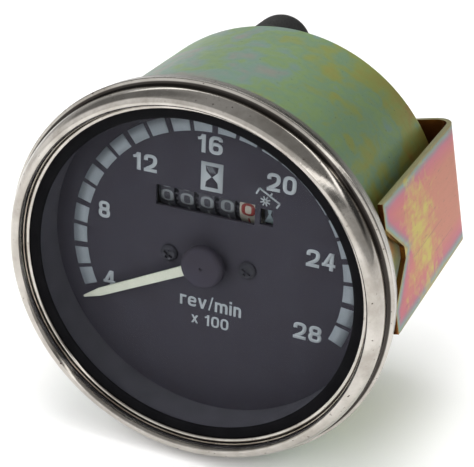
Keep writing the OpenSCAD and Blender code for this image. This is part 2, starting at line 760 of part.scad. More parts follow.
// Half of the strap's edge, from the foot up the leaning leg and round the bend
function strap_edge(r, foot_x) = concat([[foot_x, foot_gap]],
    [for (i = [0 : bend_steps]) let (a = -leg_lean + (90 + leg_lean) * i / bend_steps)
        [bend_x + r * cos(a), strap_back - bend_r + r * sin(a)]]);
function reversed(points) = [for (i = [len(points) - 1 : -1 : 0]) points[i]];
function mirrored(points) = [for (p = points) [-p[0], p[1]]];
bend_steps = 12;
bend_x = leg_r - bend_r * (1 + sin(leg_lean)) / cos(leg_lean);

// Section of the strap: a bridge, two bends and two legs that lean in
module strap_section() {
    foot_x = leg_r - tan(leg_lean) * (strap_back - foot_gap);
    outer = strap_edge(bend_r, foot_x);
    inner = strap_edge(bend_r - strap_t, foot_x - strap_t / cos(leg_lean));
    polygon(concat(outer, reversed(mirrored(outer)), mirrored(inner), reversed(inner)));
}

// A washer on each bracket stud, from a depth backwards
module washer_pair(y0) {
    color(bright_steel) for (p = stud_places) at(stud_r * p[0], stud_r * p[1])
        ring(stud_d + 0.2, stud_d / 2 + 0.1, y0, y0 + washer_t);
}

// A hexagon nut on each bracket stud, from a depth backwards
module nut_pair(y0) {
    color(bright_steel) for (p = stud_places) at(stud_r * p[0], stud_r * p[1])
        translate([0, y0, 0]) rotate([-90, 0, 0]) difference() {
            cylinder(d = stud_nut_flats / cos(30), h = stud_nut_h, $fn = 6);
            translate([0, 0, -1]) cylinder(r = stud_d / 2, h = stud_nut_h + 2);
        }
}

// Washers and nuts that hold the studs to the case's back and carry the strap
module frame_washers() {
    washer_pair(case_len);
}
module frame_nuts() {
    nut_pair(case_len + washer_t);
}

// U-shaped strap that pulls the bezel against the panel, with notched feet
module bracket() {
    color("#b7788a") rotate([0, -bracket_turn, 0]) difference() {
        translate([0, 0, -strap_w / 2]) linear_extrude(height = strap_w) strap_section();
        translate([-leg_r - 1, 0, 0]) rotate([90, 0, 90]) linear_extrude(height = 2 * leg_r + 2)
            polygon([[foot_gap - 1, -notch_mouth - 1], [foot_gap, -notch_mouth],
                [foot_gap + notch_depth, -notch_floor], [foot_gap + notch_depth, notch_floor],
                [foot_gap, notch_mouth], [foot_gap - 1, notch_mouth + 1]]);
        disc(nut_flats / cos(30) / 2 + 1, bridge_y - 1, strap_back + 1);
        for (side = [-1, 1]) at(side * stud_r, 0) disc(stud_d / 2 + 0.3, bridge_y - 1, strap_back + 1);
    }
}

// Washers and nuts that press the strap forwards
module stud_washers() {
    washer_pair(strap_back);
}
module stud_nuts() {
    nut_pair(strap_back + washer_t);
}

lamp_shell_r = 6;
lamp_shell_t = 0.6;

// Metal shell of the lamp holder, seated on the case's back
module lamp_holder() {
    flange_y = case_len + 1;
    color(bright_steel) at(lamp_x, lamp_z) turned([[lamp_shell_r - lamp_shell_t, rear_plate_y - 6],
        [lamp_shell_r, rear_plate_y - 6], [lamp_shell_r, case_len], [lamp_shell_r + 1.4, case_len],
        [lamp_shell_r + 1.4, flange_y], [4, flange_y], [4, flange_y + 6], [1.2, flange_y + 6],
        [1.2, flange_y - 1], [lamp_shell_r - lamp_shell_t, flange_y - 1]]);
}

// Bulb that lights the dial from behind
module lamp_bulb() {
    base_y = case_len;
    glass_y = rear_plate_y - 6;
    color("#e8e4d0", 0.5) at(lamp_x, lamp_z) turned(concat([[0, base_y], [3.4, base_y], [3.4, base_y - 2],
        [4.6, base_y - 3], [4.6, glass_y]],
        [for (a = [0 : 15 : 90]) [4.6 * cos(a), glass_y - 4.6 * sin(a)]]));
}

// Rubber boot over the lamp holder's terminal, with a small outlet in its end
module lamp_boot() {
    boot_r = boot_d / 2;
    wall = 1.4;
    end_y = case_len + boot_out;
    round_r = 3;
    color(black_tone) at(lamp_x, lamp_z) turned(concat(
        [[lamp_shell_r + 1.4, case_len], [boot_r, case_len], [boot_r, end_y - round_r]],
        [for (a = [15 : 15 : 90])
            [boot_r - round_r * (1 - cos(a)), end_y - round_r * (1 - sin(a))]],
        [[1.6, end_y], [1.6, end_y - wall], [boot_r - wall - 1.5, end_y - wall],
            [boot_r - wall, end_y - wall - 1.5], [boot_r - wall, case_len + 2],
            [lamp_shell_r + 1.4, case_len + 1]]));
}

case_can();
bezel();
glass();
glass_seal();
gasket();
spacer_ring();
dial_plate();
dial_screws();
pointer();
hub_cap();
spindle();
spring_collet();
hairspring();
spring_stud();
drag_cup();
magnet();
return_cup();
drive_shaft();
shaft_bush();
front_plate();
front_bearing();
stop_pins();
pillars();
pillar_screws();
rear_plate();
cross_shaft();
cross_wheel();
counter_shaft();
counter_wheel();
counter_frame();
counter_axle();
for (i = [1 : drum_count]) drum(i);
run_indicator();
pinion_shaft();
for (i = [1 : drum_count]) pinion(i);
drive_nipple();
nipple_nut();
bracket_studs();
frame_washers();
frame_nuts();
bracket();
stud_washers();
stud_nuts();
lamp_holder();
lamp_bulb();
lamp_boot();
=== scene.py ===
# %% [markdown]
# # A panel tachometer, from its engineering frame to its looks
# The frame holds every working part of the instrument, exact in size, in metres: the dial faces
# -Y, twelve o'clock is +Z, and the origin lies on the dial's axis in the plane where the bezel
# seats on the panel. What is already right in it keeps its shape and gets a finish. What needs
# rolled edges, threads or print is made again as a surface, drawn in millimetres.

# %% Load the frame
import math
import bmesh
import bpy
import numpy as np
from mathutils import Matrix, Vector


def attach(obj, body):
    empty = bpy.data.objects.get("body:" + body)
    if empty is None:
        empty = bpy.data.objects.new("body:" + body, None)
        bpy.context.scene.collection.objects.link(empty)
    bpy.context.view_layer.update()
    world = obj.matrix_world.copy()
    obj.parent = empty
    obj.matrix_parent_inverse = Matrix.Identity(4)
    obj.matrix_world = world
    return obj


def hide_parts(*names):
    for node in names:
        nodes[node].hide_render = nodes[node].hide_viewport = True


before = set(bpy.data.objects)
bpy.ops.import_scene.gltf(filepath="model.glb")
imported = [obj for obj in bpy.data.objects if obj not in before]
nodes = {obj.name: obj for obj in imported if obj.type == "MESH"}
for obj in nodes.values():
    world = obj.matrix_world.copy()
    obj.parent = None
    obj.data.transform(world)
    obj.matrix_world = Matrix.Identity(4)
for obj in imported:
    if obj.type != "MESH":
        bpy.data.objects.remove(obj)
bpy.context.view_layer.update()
MM = 0.001

# %% [markdown]
# ## Colours and nodes
# A colour is easiest to judge as the hex value that a picture shows, but the renderer adds light
# in linear numbers. One function turns the first into the second, and it is used everywhere.
# A material is a small graph. One function adds a node, sets it up and joins its inputs, so a
# finish reads as a list of what it is made of.

# %% Colour and node helpers
def linear(code):
    """sRGB hex to linear RGBA: c/12.92 for dark values, else ((c + 0.055) / 1.055) to the power 2.4."""
    c = np.array([int(code[i:i + 2], 16) for i in (1, 3, 5)]) / 255
    return (*np.where(c <= 0.04045, c / 12.92, ((c + 0.055) / 1.055) ** 2.4), 1.0)


def add(tree, kind, links=(), settings=None):
    """Adds one shader node. links fills its inputs, in order or by name, with a plain value, a
    socket, or a node, which stands for its first live output. settings are its properties, with a
    ramp's stops as (place, hex) pairs, or the name of its operation alone."""
    node = tree.nodes.new("ShaderNode" + kind)
    if isinstance(settings, str):
        settings = {"operation": settings}
    for key, value in (settings or {}).items():
        if key == "stops":
            for n, (place, code) in enumerate(value):
                stop = node.color_ramp.elements[n] if n < 2 else node.color_ramp.elements.new(place)
                stop.position, stop.color = place, linear(code)
        else:
            setattr(node, key, value)
    for key, value in links.items() if isinstance(links, dict) else enumerate(links):
        if isinstance(value, bpy.types.Node):
            value = next(out for out in value.outputs if out.enabled)
        if isinstance(value, bpy.types.NodeSocket):
            tree.links.new(value, node.inputs[key])
        else:
            node.inputs[key].default_value = value
    return node


def within(tree, value, middle, reach, soft):
    """1 where a value is within reach of middle, and 0 beyond that, eased over soft each way."""
    off = add(tree, "Math", [value, middle], "SUBTRACT")
    off = add(tree, "Math", [off], "ABSOLUTE")
    return add(tree, "MapRange", [off, reach + soft, reach - soft])


def start(name):
    """An empty material, its graph, and the place on the piece, in metres."""
    material = bpy.data.materials.new(name)
    material.use_nodes = True
    t = material.node_tree
    t.nodes.clear()
    return material, t, add(t, "TexCoord").outputs["Object"]


def finish(tree, tone, gloss, relief, strength, depth, **more):
    """Ends a material: colour, roughness, and a bump from relief, with its depth in metres. more goes
    straight to the shader."""
    bump = add(tree, "Bump", {"Strength": strength, "Distance": depth, "Height": relief})
    shader = add(tree, "BsdfPrincipled", {"Base Color": tone, "Roughness": gloss, "Normal": bump, **more})
    add(tree, "OutputMaterial", [shader])


COLOURS = {"data_type": "RGBA"}
print("helpers ready, mid grey is", [round(v, 3) for v in linear("#808080")[:3]])

# %% [markdown]
# ## Surfaces from numbers
# A turned part is a profile swept round the axis, and a sheet is a grid of points. Both are
# arrays of points with rows and columns, so one list of quads serves every piece. Corners are
# rounded in the profile itself, which costs nothing and is what catches the light.

# %% Surface helpers
def grid_faces(rows, columns, close_rows=False, close_columns=False):
    """Quads between neighbours of a grid: (i, j), (i + 1, j), (i + 1, j + 1), (i, j + 1)."""
    i = np.arange(rows if close_rows else rows - 1)[:, None]
    j = np.arange(columns if close_columns else columns - 1)[None, :]
    i1, j1 = (i + 1) % rows, (j + 1) % columns
    return np.stack([i * columns + j, i1 * columns + j, i1 * columns + j1, i * columns + j1],
                    -1).reshape(-1, 4)


def sheet(x, y, z, *closed):
    """Points and quads of a grid. x, y and z run along its rows, its columns or both, or are one value."""
    x, y, z = np.broadcast_arrays(x, y, z)
    return np.stack([x, y, z], -1).reshape(-1, 3), grid_faces(*x.shape, *closed)


def joined(parts):
    """Several (points, faces) as one: each part's faces count on from the points before it."""
    starts = np.cumsum([0] + [len(p) for p, _ in parts])
    return np.concatenate([p for p, _ in parts]), np.concatenate([f + s for (_, f), s in zip(parts, starts)])


def soften(points, radius, steps=4, closed=True):
    """Rounds each corner P of an outline: (1-t)^2 A + 2t(1-t) P + t^2 B, where A and B lie the
    radius before and after P, or 0.45 of a side if that is shorter."""
    p = np.asarray(points, float)
    back, on = np.roll(p, 1, 0) - p, np.roll(p, -1, 0) - p
    lb, lo = np.linalg.norm(back, axis=1), np.linalg.norm(on, axis=1)
    r = np.broadcast_to(radius, len(p)).copy()
    if not closed:
        r[[0, -1]] = 0
    a = p + back * (np.minimum(r, 0.45 * lb) / lb)[:, None]
    b = p + on * (np.minimum(r, 0.45 * lo) / lo)[:, None]
    t = np.linspace(0, 1, steps)[:, None, None]
    return ((1 - t) ** 2 * a + 2 * t * (1 - t) * p + t ** 2 * b).transpose(1, 0, 2).reshape(-1, 2)


def lathe(profile, steps=256, closed=True, centre=(0, 0), pitch=1, groove=0):
    """Turns points of radius and depth about the Y axis: (r cos a, y, r sin a). A groove depth per
    point cuts a screw thread, r - groove * saw(y / pitch + a / 2 pi), with a saw from 0 to 1."""
    p = np.asarray(profile, float)
    a = np.linspace(0, 2 * np.pi, steps, endpoint=False)[None, :]
    turn = (p[:, 1, None] / pitch + a / (2 * np.pi)) % 1
    saw = np.clip(1.25 * np.abs(2 * turn - 1) - 0.05, 0, 1)
    r = p[:, 0, None] - np.broadcast_to(groove, len(p))[:, None] * saw
    return sheet(centre[0] + r * np.cos(a), p[:, 1, None], centre[1] + r * np.sin(a), closed, True)


print("surface helpers ready: a washer has", len(lathe([(1, 0), (2, 0), (2, 1), (1, 1)])[1]), "quads")

# %% [markdown]
# ## One way to make a piece
# Every new piece is made in the same way: its parts are joined, points that lie on each other
# become one, each piece is hung on the body it rides on, and the node it stands for is hidden.

# %% Piece maker
def put(name, data):
    """A new object in the scene."""
    thing = bpy.data.objects.new(name, data)
    bpy.context.scene.collection.objects.link(thing)
    return thing


def build(name, parts, replaces, slot, material, body="housing", crease=32, solid=True):
    """One object from (points in mm, faces) parts: joined, doubles merged, shaded smooth up to the
    crease angle, and with its faces turned outwards if the parts are solid."""
    mesh = bpy.data.meshes.new(name)
    points, faces = joined(parts)
    mesh.from_pydata(points * MM, [], faces.tolist())
    work = bmesh.new()
    work.from_mesh(mesh)
    bmesh.ops.remove_doubles(work, verts=work.verts, dist=1e-6)
    if solid:
        bmesh.ops.recalc_face_normals(work, faces=work.faces)
    work.to_mesh(mesh)
    work.free()
    mesh.shade_smooth()
    mesh.set_sharp_from_angle(angle=math.radians(crease))
    mesh.materials.append(material)
    piece = put(name, mesh)
    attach(piece, body)
    if replaces:
        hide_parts(replaces)
    print(f"{name}: {len(mesh.polygons)} faces on {body}")
    return piece

# %% [markdown]
# ## Nickel plate, satin: the bezel
# The bezel is brass or steel sheet, spun to shape, nickel plated and wiped with a fine abrasive
# while it turned. The wiping leaves hair lines that run round the ring, so the gloss is streaky
# across it. Old plate also has dull specks and a brown bloom towards the panel. The lines follow
# radius and depth alone, so they run round without a seam.

# %% Satin nickel
satin_nickel, t, place = start("nickel_plate_satin")
x, y, z = add(t, "SeparateXYZ", [place]).outputs
flat = add(t, "CombineXYZ", [x, z, 0.0])
radius = add(t, "VectorMath", [flat], "LENGTH")
lines_at = add(t, "CombineXYZ", [radius, y])
# lathe lines about 0.25 mm apart, coarser than the real hair lines so that they show
lines = add(t, "TexNoise", {"Vector": lines_at, "Scale": 4000.0, "Detail": 3.0})
cloud = add(t, "TexNoise", {"Vector": place, "Scale": 110.0, "Detail": 5.0, "Roughness": 0.65})
# pits 0.3 to 0.6 mm across, thinly sown
speck = add(t, "TexNoise", {"Vector": place, "Scale": 900.0})
pits = add(t, "MapRange", [speck, 0.68, 0.76])
# the bloom grows over the 4.5 mm before the panel
back = add(t, "MapRange", [y, -0.0045, -0.0002, 0.0, 0.6])
# painted shade: the crease under the crown and the groove beside the lip are darkened almost to black, for the
# shade that falls in them
crease_shade_bands = [add(t, "Math", [within(t, y, *depths), within(t, radius, *radii)], "MULTIPLY")
           for depths, radii in (((-0.0047, 0.0004, 0.00012), (0.0526, 0.0005, 0.00008)),
                                 ((-0.0069, 0.00035, 0.0001), (0.048, 0.00018, 0.00006)))]
painted_crease_shade = add(t, "Math", [add(t, "Math", crease_shade_bands, "MAXIMUM"), 0.93], "MULTIPLY")
tone = add(t, "ValToRGB", [cloud], {"stops": [(0.35, "#a39d95"), (0.62, "#c0bbb4")]})
# the bloom and the pits are the plate's own; the near-black in the crease and groove is painted shade
for mask, code in ((back, "#6f7562"), (painted_crease_shade, "#1c1613"), (pits, "#4a403a")):
    tone = add(t, "Mix", {"Factor": mask, "A": tone, "B": linear(code)}, COLOURS)
print("nickel plate:", len(t.nodes), "nodes for its colour")

# %% [markdown]
# Colour is half of a plated finish. The other half is how it breaks up a reflection: the hair
# lines, and faint ripples that the spinning roller left across the ring.

# %% Relief and gloss of the nickel
turned = add(t, "VectorMath", [flat], "NORMALIZE")
# ripples about 1 mm apart, strong in places
chatter = add(t, "TexNoise", {"Vector": turned, "Scale": 55.0})
places = add(t, "MapRange", [cloud, 0.42, 0.62, 0.15, 1.0])
ripple = add(t, "Math", [chatter, places], "MULTIPLY")
combed = add(t, "Math", [ripple, 2.0, lines], "MULTIPLY_ADD")
gloss = add(t, "MapRange", [lines, 0.3, 0.7, 0.08, 0.15])
# the skirt was never wiped, so its plate is duller, and the pits are duller still
for mask, share in ((back, 0.45), (pits, 0.3)):
    gloss = add(t, "Math", [mask, share, gloss], "MULTIPLY_ADD")
finish(t, tone, gloss, combed, 0.2, 0.00004, Metallic=1.0)
print("nickel plate:", len(t.nodes), "nodes in all")

# %% [markdown]
# ## Yellow chromate on zinc: the case
# The drawn steel can is zinc plated and dipped in a chromate bath. The film is thinner than a
# wavelength in places and thicker in others, so it shows mauve, teal, olive and ochre in soft
# patches that follow how the bath ran off. Interference isn't simulated here: the place across
# the can, bent by noises of several sizes, picks from a ramp of the film's own colours. A shift
# from left to right also moves the right side to darker colours, which is painted shade.

# %% Chromate on the case
chromate_case, t, place = start("zinc_plate_yellow_chromate")
x, y, z = add(t, "SeparateXYZ", [place]).outputs
# clouds 15 to 25 mm across, blotches of 7 mm, and streaks 10 mm long and 2 mm high, which lie
# level because the bath ran off that way
clouds = add(t, "TexNoise", {"Vector": place, "Scale": 48.0, "Distortion": 0.4})
blotches = add(t, "TexNoise", {"Vector": place, "Scale": 140.0, "Detail": 3.0, "Distortion": 0.5})
run = add(t, "Mapping", {"Vector": place, "Scale": (90.0, 90.0, 420.0)})
streaks = add(t, "TexNoise", {"Vector": run, "Scale": 1.0, "Detail": 3.0, "Distortion": 0.3})
# partly the film's drift and partly painted shade: the right side takes darker colours of the ramp, as light falls
# from the left
film_drift_and_side_shade = add(t, "MapRange", [x, -0.05, 0.055, -0.28, 0.22])
film = add(t, "Math", [y, 1.6, film_drift_and_side_shade], "MULTIPLY_ADD")
for noise, share in ((clouds, 0.75), (blotches, 0.5), (streaks, 0.3)):
    film = add(t, "Math", [noise, share, film], "MULTIPLY_ADD")
film = add(t, "Math", [film, 0.27], "SUBTRACT")
tone = add(t, "ValToRGB", [film], {"stops": [
    (0.0, "#8aa283"), (0.09, "#a5a06a"), (0.22, "#a49c97"), (0.34, "#9da093"), (0.43, "#86a697"),
    (0.52, "#8fab70"), (0.60, "#84a582"), (0.70, "#9ba85c"), (0.82, "#a4a051"), (0.95, "#ab8448")]})
speck = add(t, "TexNoise", {"Vector": place, "Scale": 1100.0})
pits = add(t, "MapRange", [speck, 0.70, 0.78, 0.0, 0.7])
tone = add(t, "Mix", {"Factor": pits, "A": tone, "B": linear("#3b4030")}, COLOURS)
fine = add(t, "TexNoise", {"Vector": place, "Scale": 420.0, "Detail": 6.0, "Roughness": 0.7})
gloss = add(t, "MapRange", [fine, 0.3, 0.7, 0.34, 0.44])
finish(t, tone, gloss, fine, 0.15, 0.00005, Metallic=0.85)
print("chromate on the case:", len(t.nodes), "nodes")

# %% [markdown]
# ## The same film on the strap
# The strap hung in the bath on its own and drained to its edges. Its outer face is pink and
# salmon, inside a blue-grey border; the cream line at the very rim is painted highlight on the edge.
# The border needs the distance from the rim, so the place is first turned to lie along the strap,
# which sits askew on the case. The notched end drained too: the notch is 1.19 mm deeper for each
# millimetre nearer its middle.

# %% Border of the strap
STRAP_TURN = math.radians(12.4)
# in mm: half the strap's width, and the depth where its feet end
half, feet_y = 17.7, 2.6
chromate_strap, t, place = start("zinc_plate_iridescent_chromate")
turn = (0.0, STRAP_TURN, 0.0)
along = add(t, "Mapping", {"Vector": place, "Rotation": turn})
x, y, z = add(t, "SeparateXYZ", [along]).outputs
across = add(t, "Math", [z], "ABSOLUTE")
inward = add(t, "Math", [half * MM, across], "SUBTRACT")
ahead = add(t, "Math", [y, feet_y * MM], "SUBTRACT")
# the notch's rise and its depth in metres, and what turns a distance along the strap into one
# square to the notch's edge
rise, deep, square_on = 1.19, 0.0131, 0.64
notch = add(t, "Math", [across, rise, -deep], "MULTIPLY_ADD")
to_notch = add(t, "Math", [ahead, notch], "ADD")
slanted = add(t, "Math", [to_notch, square_on], "MULTIPLY")
closer = add(t, "Math", [ahead, slanted], "MINIMUM")
rim = add(t, "Math", [closer, inward], "MINIMUM")
clouds = add(t, "TexNoise", {"Vector": along, "Scale": 70.0, "Detail": 3.0, "Distortion": 0.6})
wavy = add(t, "Math", [clouds, 0.0022, rim], "MULTIPLY_ADD")
border = add(t, "MapRange", [wavy, 0.0008, 0.0095])
# the first stop, cream at the very rim, is painted highlight along the edge; the others are the film's colours
tone = add(t, "ValToRGB", [border], {"stops": [
    (0.0, "#b3a25c"), (0.06, "#8d8650"), (0.16, "#73918a"), (0.27, "#8b6f7c"), (0.40, "#b0596b"),
    (0.70, "#b7625f"), (1.0, "#b66f55")]})
print("border of the strap:", len(t.nodes), "nodes")

# %% [markdown]
# A straw blotch lies across the middle of the outer face, ragged where the film broke up. Drawing
# lines run along the strip, pickling left dark flecks, and two scratches show where the strap was
# slid into a crate.

# %% Blotch, lines and scratches
# drawing lines along the strip, about 1 mm apart and 8 mm long
drawn = add(t, "Mapping", {"Vector": along, "Scale": (900.0, 130.0, 900.0)})
grain = add(t, "TexNoise", {"Vector": drawn, "Scale": 1.0, "Detail": 4.0})
# the blotch is about 22 mm across the strap and 14 mm along it, and eaten into by spots of 3 to 4 mm
spot = add(t, "Mapping", {"Vector": along, "Location": (0.0, -0.027 * 75, 0.002 * 48), "Scale": (0.0, 75.0, 48.0)})
spots = add(t, "TexNoise", {"Vector": along, "Scale": 300.0, "Detail": 4.0, "Distortion": 0.5})
ragged = add(t, "VectorMath", [spot], "LENGTH")
for noise, share in ((clouds, 1.6), (grain, 0.9), (spots, 2.6)):
    ragged = add(t, "Math", [noise, share, ragged], "MULTIPLY_ADD")
blotch = add(t, "MapRange", [ragged, 2.6, 3.6, 0.9, 0.0])
faded = add(t, "MapRange", [grain, 0.45, 0.75, 0.0, 0.35])
# flecks 0.5 mm across
flecks = add(t, "TexNoise", {"Vector": drawn, "Scale": 2.4})
flecked = add(t, "MapRange", [flecks, 0.66, 0.74, 0.0, 0.7])
scratched = 0.0
for height, y0, y1 in ((-0.0041, 0.019, 0.045), (-0.0102, 0.037, 0.053)):
    off = add(t, "Math", [z, height, 0.00011], "COMPARE")
    on = add(t, "Math", [y, (y0 + y1) / 2, (y1 - y0) / 2], "COMPARE")
    both = add(t, "Math", [off, on], "MULTIPLY")
    scratched = add(t, "Math", [both, 0.5, scratched], "MULTIPLY_ADD")
print("blotch, lines and scratches:", len(t.nodes), "nodes")

# %% [markdown]
# The strap's cut ends are an olive, and its inner faces, which face the case, a dark bronze: painted
# shade for the dark they face. Which face is which is told by the way it looks, turned along the
# strap like the place.

# %% Inner faces and the finished strap
surface = add(t, "NewGeometry").outputs["Normal"]
normal = add(t, "Mapping", {"Vector": surface, "Rotation": turn}, {"vector_type": "NORMAL"})
facing = add(t, "SeparateXYZ", [normal]).outputs
side = add(t, "Math", [x], "SIGN")
inwards = add(t, "Math", [side, facing[0]], "MULTIPLY")
lowest = add(t, "Math", [inwards, facing[1]], "MINIMUM")
inner = add(t, "MapRange", [lowest, -0.3, -0.7])
edge = add(t, "Math", [facing[2]], "ABSOLUTE")
cut_edge = add(t, "MapRange", [edge, 0.8, 0.95])
# the dark bronze on the inner faces is painted shade; the blotch, fading, flecks, scratches and olive cut ends are
# the strap's own
for mask, code in ((blotch, "#b3a83f"), (faded, "#9c6a48"), (flecked, "#7a5a44"), (scratched, "#6c5748"),
                   (cut_edge, "#8f8a62"), (inner, "#74451f")):
    tone = add(t, "Mix", {"Factor": mask, "A": tone, "B": linear(code)}, COLOURS)
gloss = add(t, "MapRange", [inner, 0.0, 1.0, 0.4, 0.22])
finish(t, tone, gloss, grain, 0.15, 0.00005, Metallic=0.85)
print("chromate on the strap:", len(t.nodes), "nodes")

# %% [markdown]
# ## Paints, plastics, rubber and plain metals
# These finishes differ in colour, gloss and the size of their grain, and in little else, so one
# table holds them: a sprayed film has orange peel, a moulded plastic follows a fine spark-eroded
# tool, rubber is mottled where it has bloomed, and a metal shows tool marks or its casting skin.

# %% Plain finishes
def coated(name, dark, light, rough, grain, height, drift=160.0, spread=0.15, **more):
    """A finish whose colour drifts between two hex values and whose gloss and relief follow one
    noise with its grain in mm. height is the relief in mm."""
    material, t, place = start(name)
    wander = add(t, "TexNoise", {"Vector": place, "Scale": drift, "Detail": 4.0})
    skin = add(t, "TexNoise", {"Vector": place, "Scale": 1000.0 / grain, "Detail": 3.0})
    tone = add(t, "ValToRGB", [wander], {"stops": [(0.3, dark), (0.7, light)]})
    gloss = add(t, "MapRange", [skin, 0.3, 0.7, rough * (1 - spread), rough * (1 + spread)])
    finish(t, tone, gloss, skin, 0.4, height * MM, **more)
    return material


def metal(*row):
    """A bare or plated metal, whose colour and gloss wander a little more than a paint's."""
    return coated(*row, drift=220.0, spread=0.2, Metallic=1.0)


dial_paint = coated("sprayed_charcoal_matt", "#3b373f", "#3f3c45", 0.85, 5.0, 0.002, IOR=1.25)
cap_black = coated("moulded_charcoal_cap", "#3b363e", "#403c46", 0.85, 5.0, 0.002, IOR=1.2)
spacer_black = coated("stoved_charcoal_enamel", "#4d4b52", "#57545c", 0.8, 5.0, 0.002, IOR=1.2)
screw_black = coated("blackened_steel_satin", "#343238", "#3b3940", 0.7, 3.0, 0.002, IOR=1.3)
print_grey = coated("pad_printed_grey_ink", "#868a91", "#91959c", 0.7, 0.3, 0.002)
print_white = coated("pad_printed_white_ink", "#a3a6ab", "#aeb1b6", 0.7, 0.3, 0.002)
print_blue = coated("pad_printed_pale_blue_ink", "#97a3aa", "#a5b0b6", 0.7, 0.3, 0.004)
cream_paint = coated("sprayed_cream_enamel", "#c2c0b2", "#cfcdbf", 0.42, 0.6, 0.01)
rubber = coated("moulded_black_rubber", "#131312", "#1b1b1a", 0.6, 0.4, 0.01, IOR=1.3)
seal_rubber = coated("extruded_black_seal_rubber", "#0a0a0c", "#101012", 0.8, 0.3, 0.003, IOR=1.15)
black_plastic = coated("moulded_black_acetal", "#4a484f", "#525058", 0.7, 2.0, 0.004, IOR=1.3)
ivory_plastic = coated("moulded_ivory_acetal", "#a9a297", "#b6b0a3", 0.45, 0.25, 0.01)
figure_ink = coated("figure_grey_ink", "#7e8084", "#8e9095", 0.6, 0.3, 0.005)
figure_red = coated("figure_red_ink", "#84302f", "#913936", 0.55, 0.3, 0.005)
nylon = coated("moulded_natural_nylon", "#d0c9b6", "#dfd9c8", 0.5, 0.3, 0.02)
bright_zinc = metal("zinc_plate_bright", "#a9a49b", "#cfcac0", 0.32, 0.6, 0.01)
ground_steel = metal("ground_steel", "#a8a6a2", "#c6c4c0", 0.25, 0.2, 0.005)
turned_brass = metal("turned_brass", "#b3945a", "#cdb077", 0.28, 0.3, 0.005)
spun_aluminium = metal("spun_aluminium", "#b4b6b8", "#cfd1d3", 0.35, 0.4, 0.01)
sintered_magnet = metal("sintered_magnet", "#4b4d51", "#5f6266", 0.6, 0.3, 0.03)
cast_zinc = metal("die_cast_zinc", "#8b8d90", "#a5a7a9", 0.5, 0.5, 0.03)
print(len(bpy.data.materials), "finishes ready")

# %% [markdown]
# ## Glass
# Flat clear glass, a few millimetres thick. A ray that is bent twice by parallel faces goes on as
# it came, so the pane is drawn as a clear sheet with a weak mirror on each face, which grows as
# the view slants: 0.3 times the slant to the power 5. That keeps the dial sharp and lets light
# through to it. The mirror is weaker than bare glass, because the real pane stands in front of a
# matt black cavity and faces a dim room.

# %% Pane and bulb
pane_glass, t, place = start("flat_clear_glass")
view_slant = add(t, "LayerWeight").outputs["Facing"]
steep = add(t, "Math", [view_slant, 5.0], "POWER")
weak = add(t, "Math", [steep, 0.3, 0.0012], "MULTIPLY_ADD")
dust = add(t, "TexNoise", {"Vector": place, "Scale": 300.0, "Detail": 4.0})
soft = add(t, "MapRange", [dust, 0.3, 0.7, 0.02, 0.06])
clear = add(t, "BsdfTransparent", {"Color": linear("#f6f8f8")})
mirror = add(t, "BsdfGlossy", {"Color": linear("#ffffff"), "Roughness": soft})
add(t, "OutputMaterial", [add(t, "MixShader", [weak, clear, mirror])])
print("glass:", len(t.nodes), "nodes")

# %% [markdown]
# ## Finishes for the parts that keep their shape
# Each engineering node that stays gets the finish of its own making.

# %% Assign finishes
finishes = {
    pane_glass: ["glass", "lamp_bulb"],
    rubber: ["gasket", "lamp_boot"],
    seal_rubber: ["glass_seal"],
    spacer_black: ["spacer_ring"],
    screw_black: ["dial_screws", "hub_cap"],
    dial_paint: ["dial_plate"],
    cream_paint: ["pointer"],
    ground_steel: ["spindle", "stop_pins", "drive_shaft", "cross_shaft", "counter_shaft",
                   "counter_axle", "pinion_shaft", "return_cup"],
    turned_brass: ["spring_collet", "hairspring", "spring_stud", "shaft_bush", "front_bearing"],
    spun_aluminium: ["drag_cup"],
    sintered_magnet: ["magnet"],
    cast_zinc: ["front_plate", "rear_plate"],
    bright_zinc: ["pillars", "pillar_screws", "counter_frame", "drive_nipple", "nipple_nut", "bracket_studs",
                  "frame_washers", "frame_nuts", "stud_washers", "stud_nuts", "lamp_holder"],
    nylon: ["cross_wheel", "counter_wheel"] + [f"pinion_{n}" for n in range(1, 6)],
    black_plastic: [f"drum_{n}" for n in range(1, 5)] + ["run_indicator"],
    ivory_plastic: ["drum_5"],
    satin_nickel: ["bezel"],
    chromate_case: ["case_can"],
    chromate_strap: ["bracket"],
}
for material, names in finishes.items():
    for name in names:
        mesh = nodes[name].data
        mesh.materials.clear()
        mesh.materials.append(material)
print("finishes on", sum(len(n) for n in finishes.values()), "nodes")

# %% [markdown]
# ## The bezel
# Sheet metal, spun over a former: it starts behind the case flange, rises as a skirt, steps in at
# a crease, swells over a half-round crown, falls to a groove and ends in a narrow lip on the
# black ring. The profile is a closed strip of sheet 0.7 mm thick. A spun edge is never sharp, so
# every corner is eased.

# %% Bezel
def quarter(centre, width, height, first, last, steps):
    """Points of a quarter oval: centre + (width cos a, -height sin a)."""
    a = np.radians(np.linspace(first, last, steps))
    return np.stack([centre[0] + width * np.cos(a), centre[1] - height * np.sin(a)], -1)


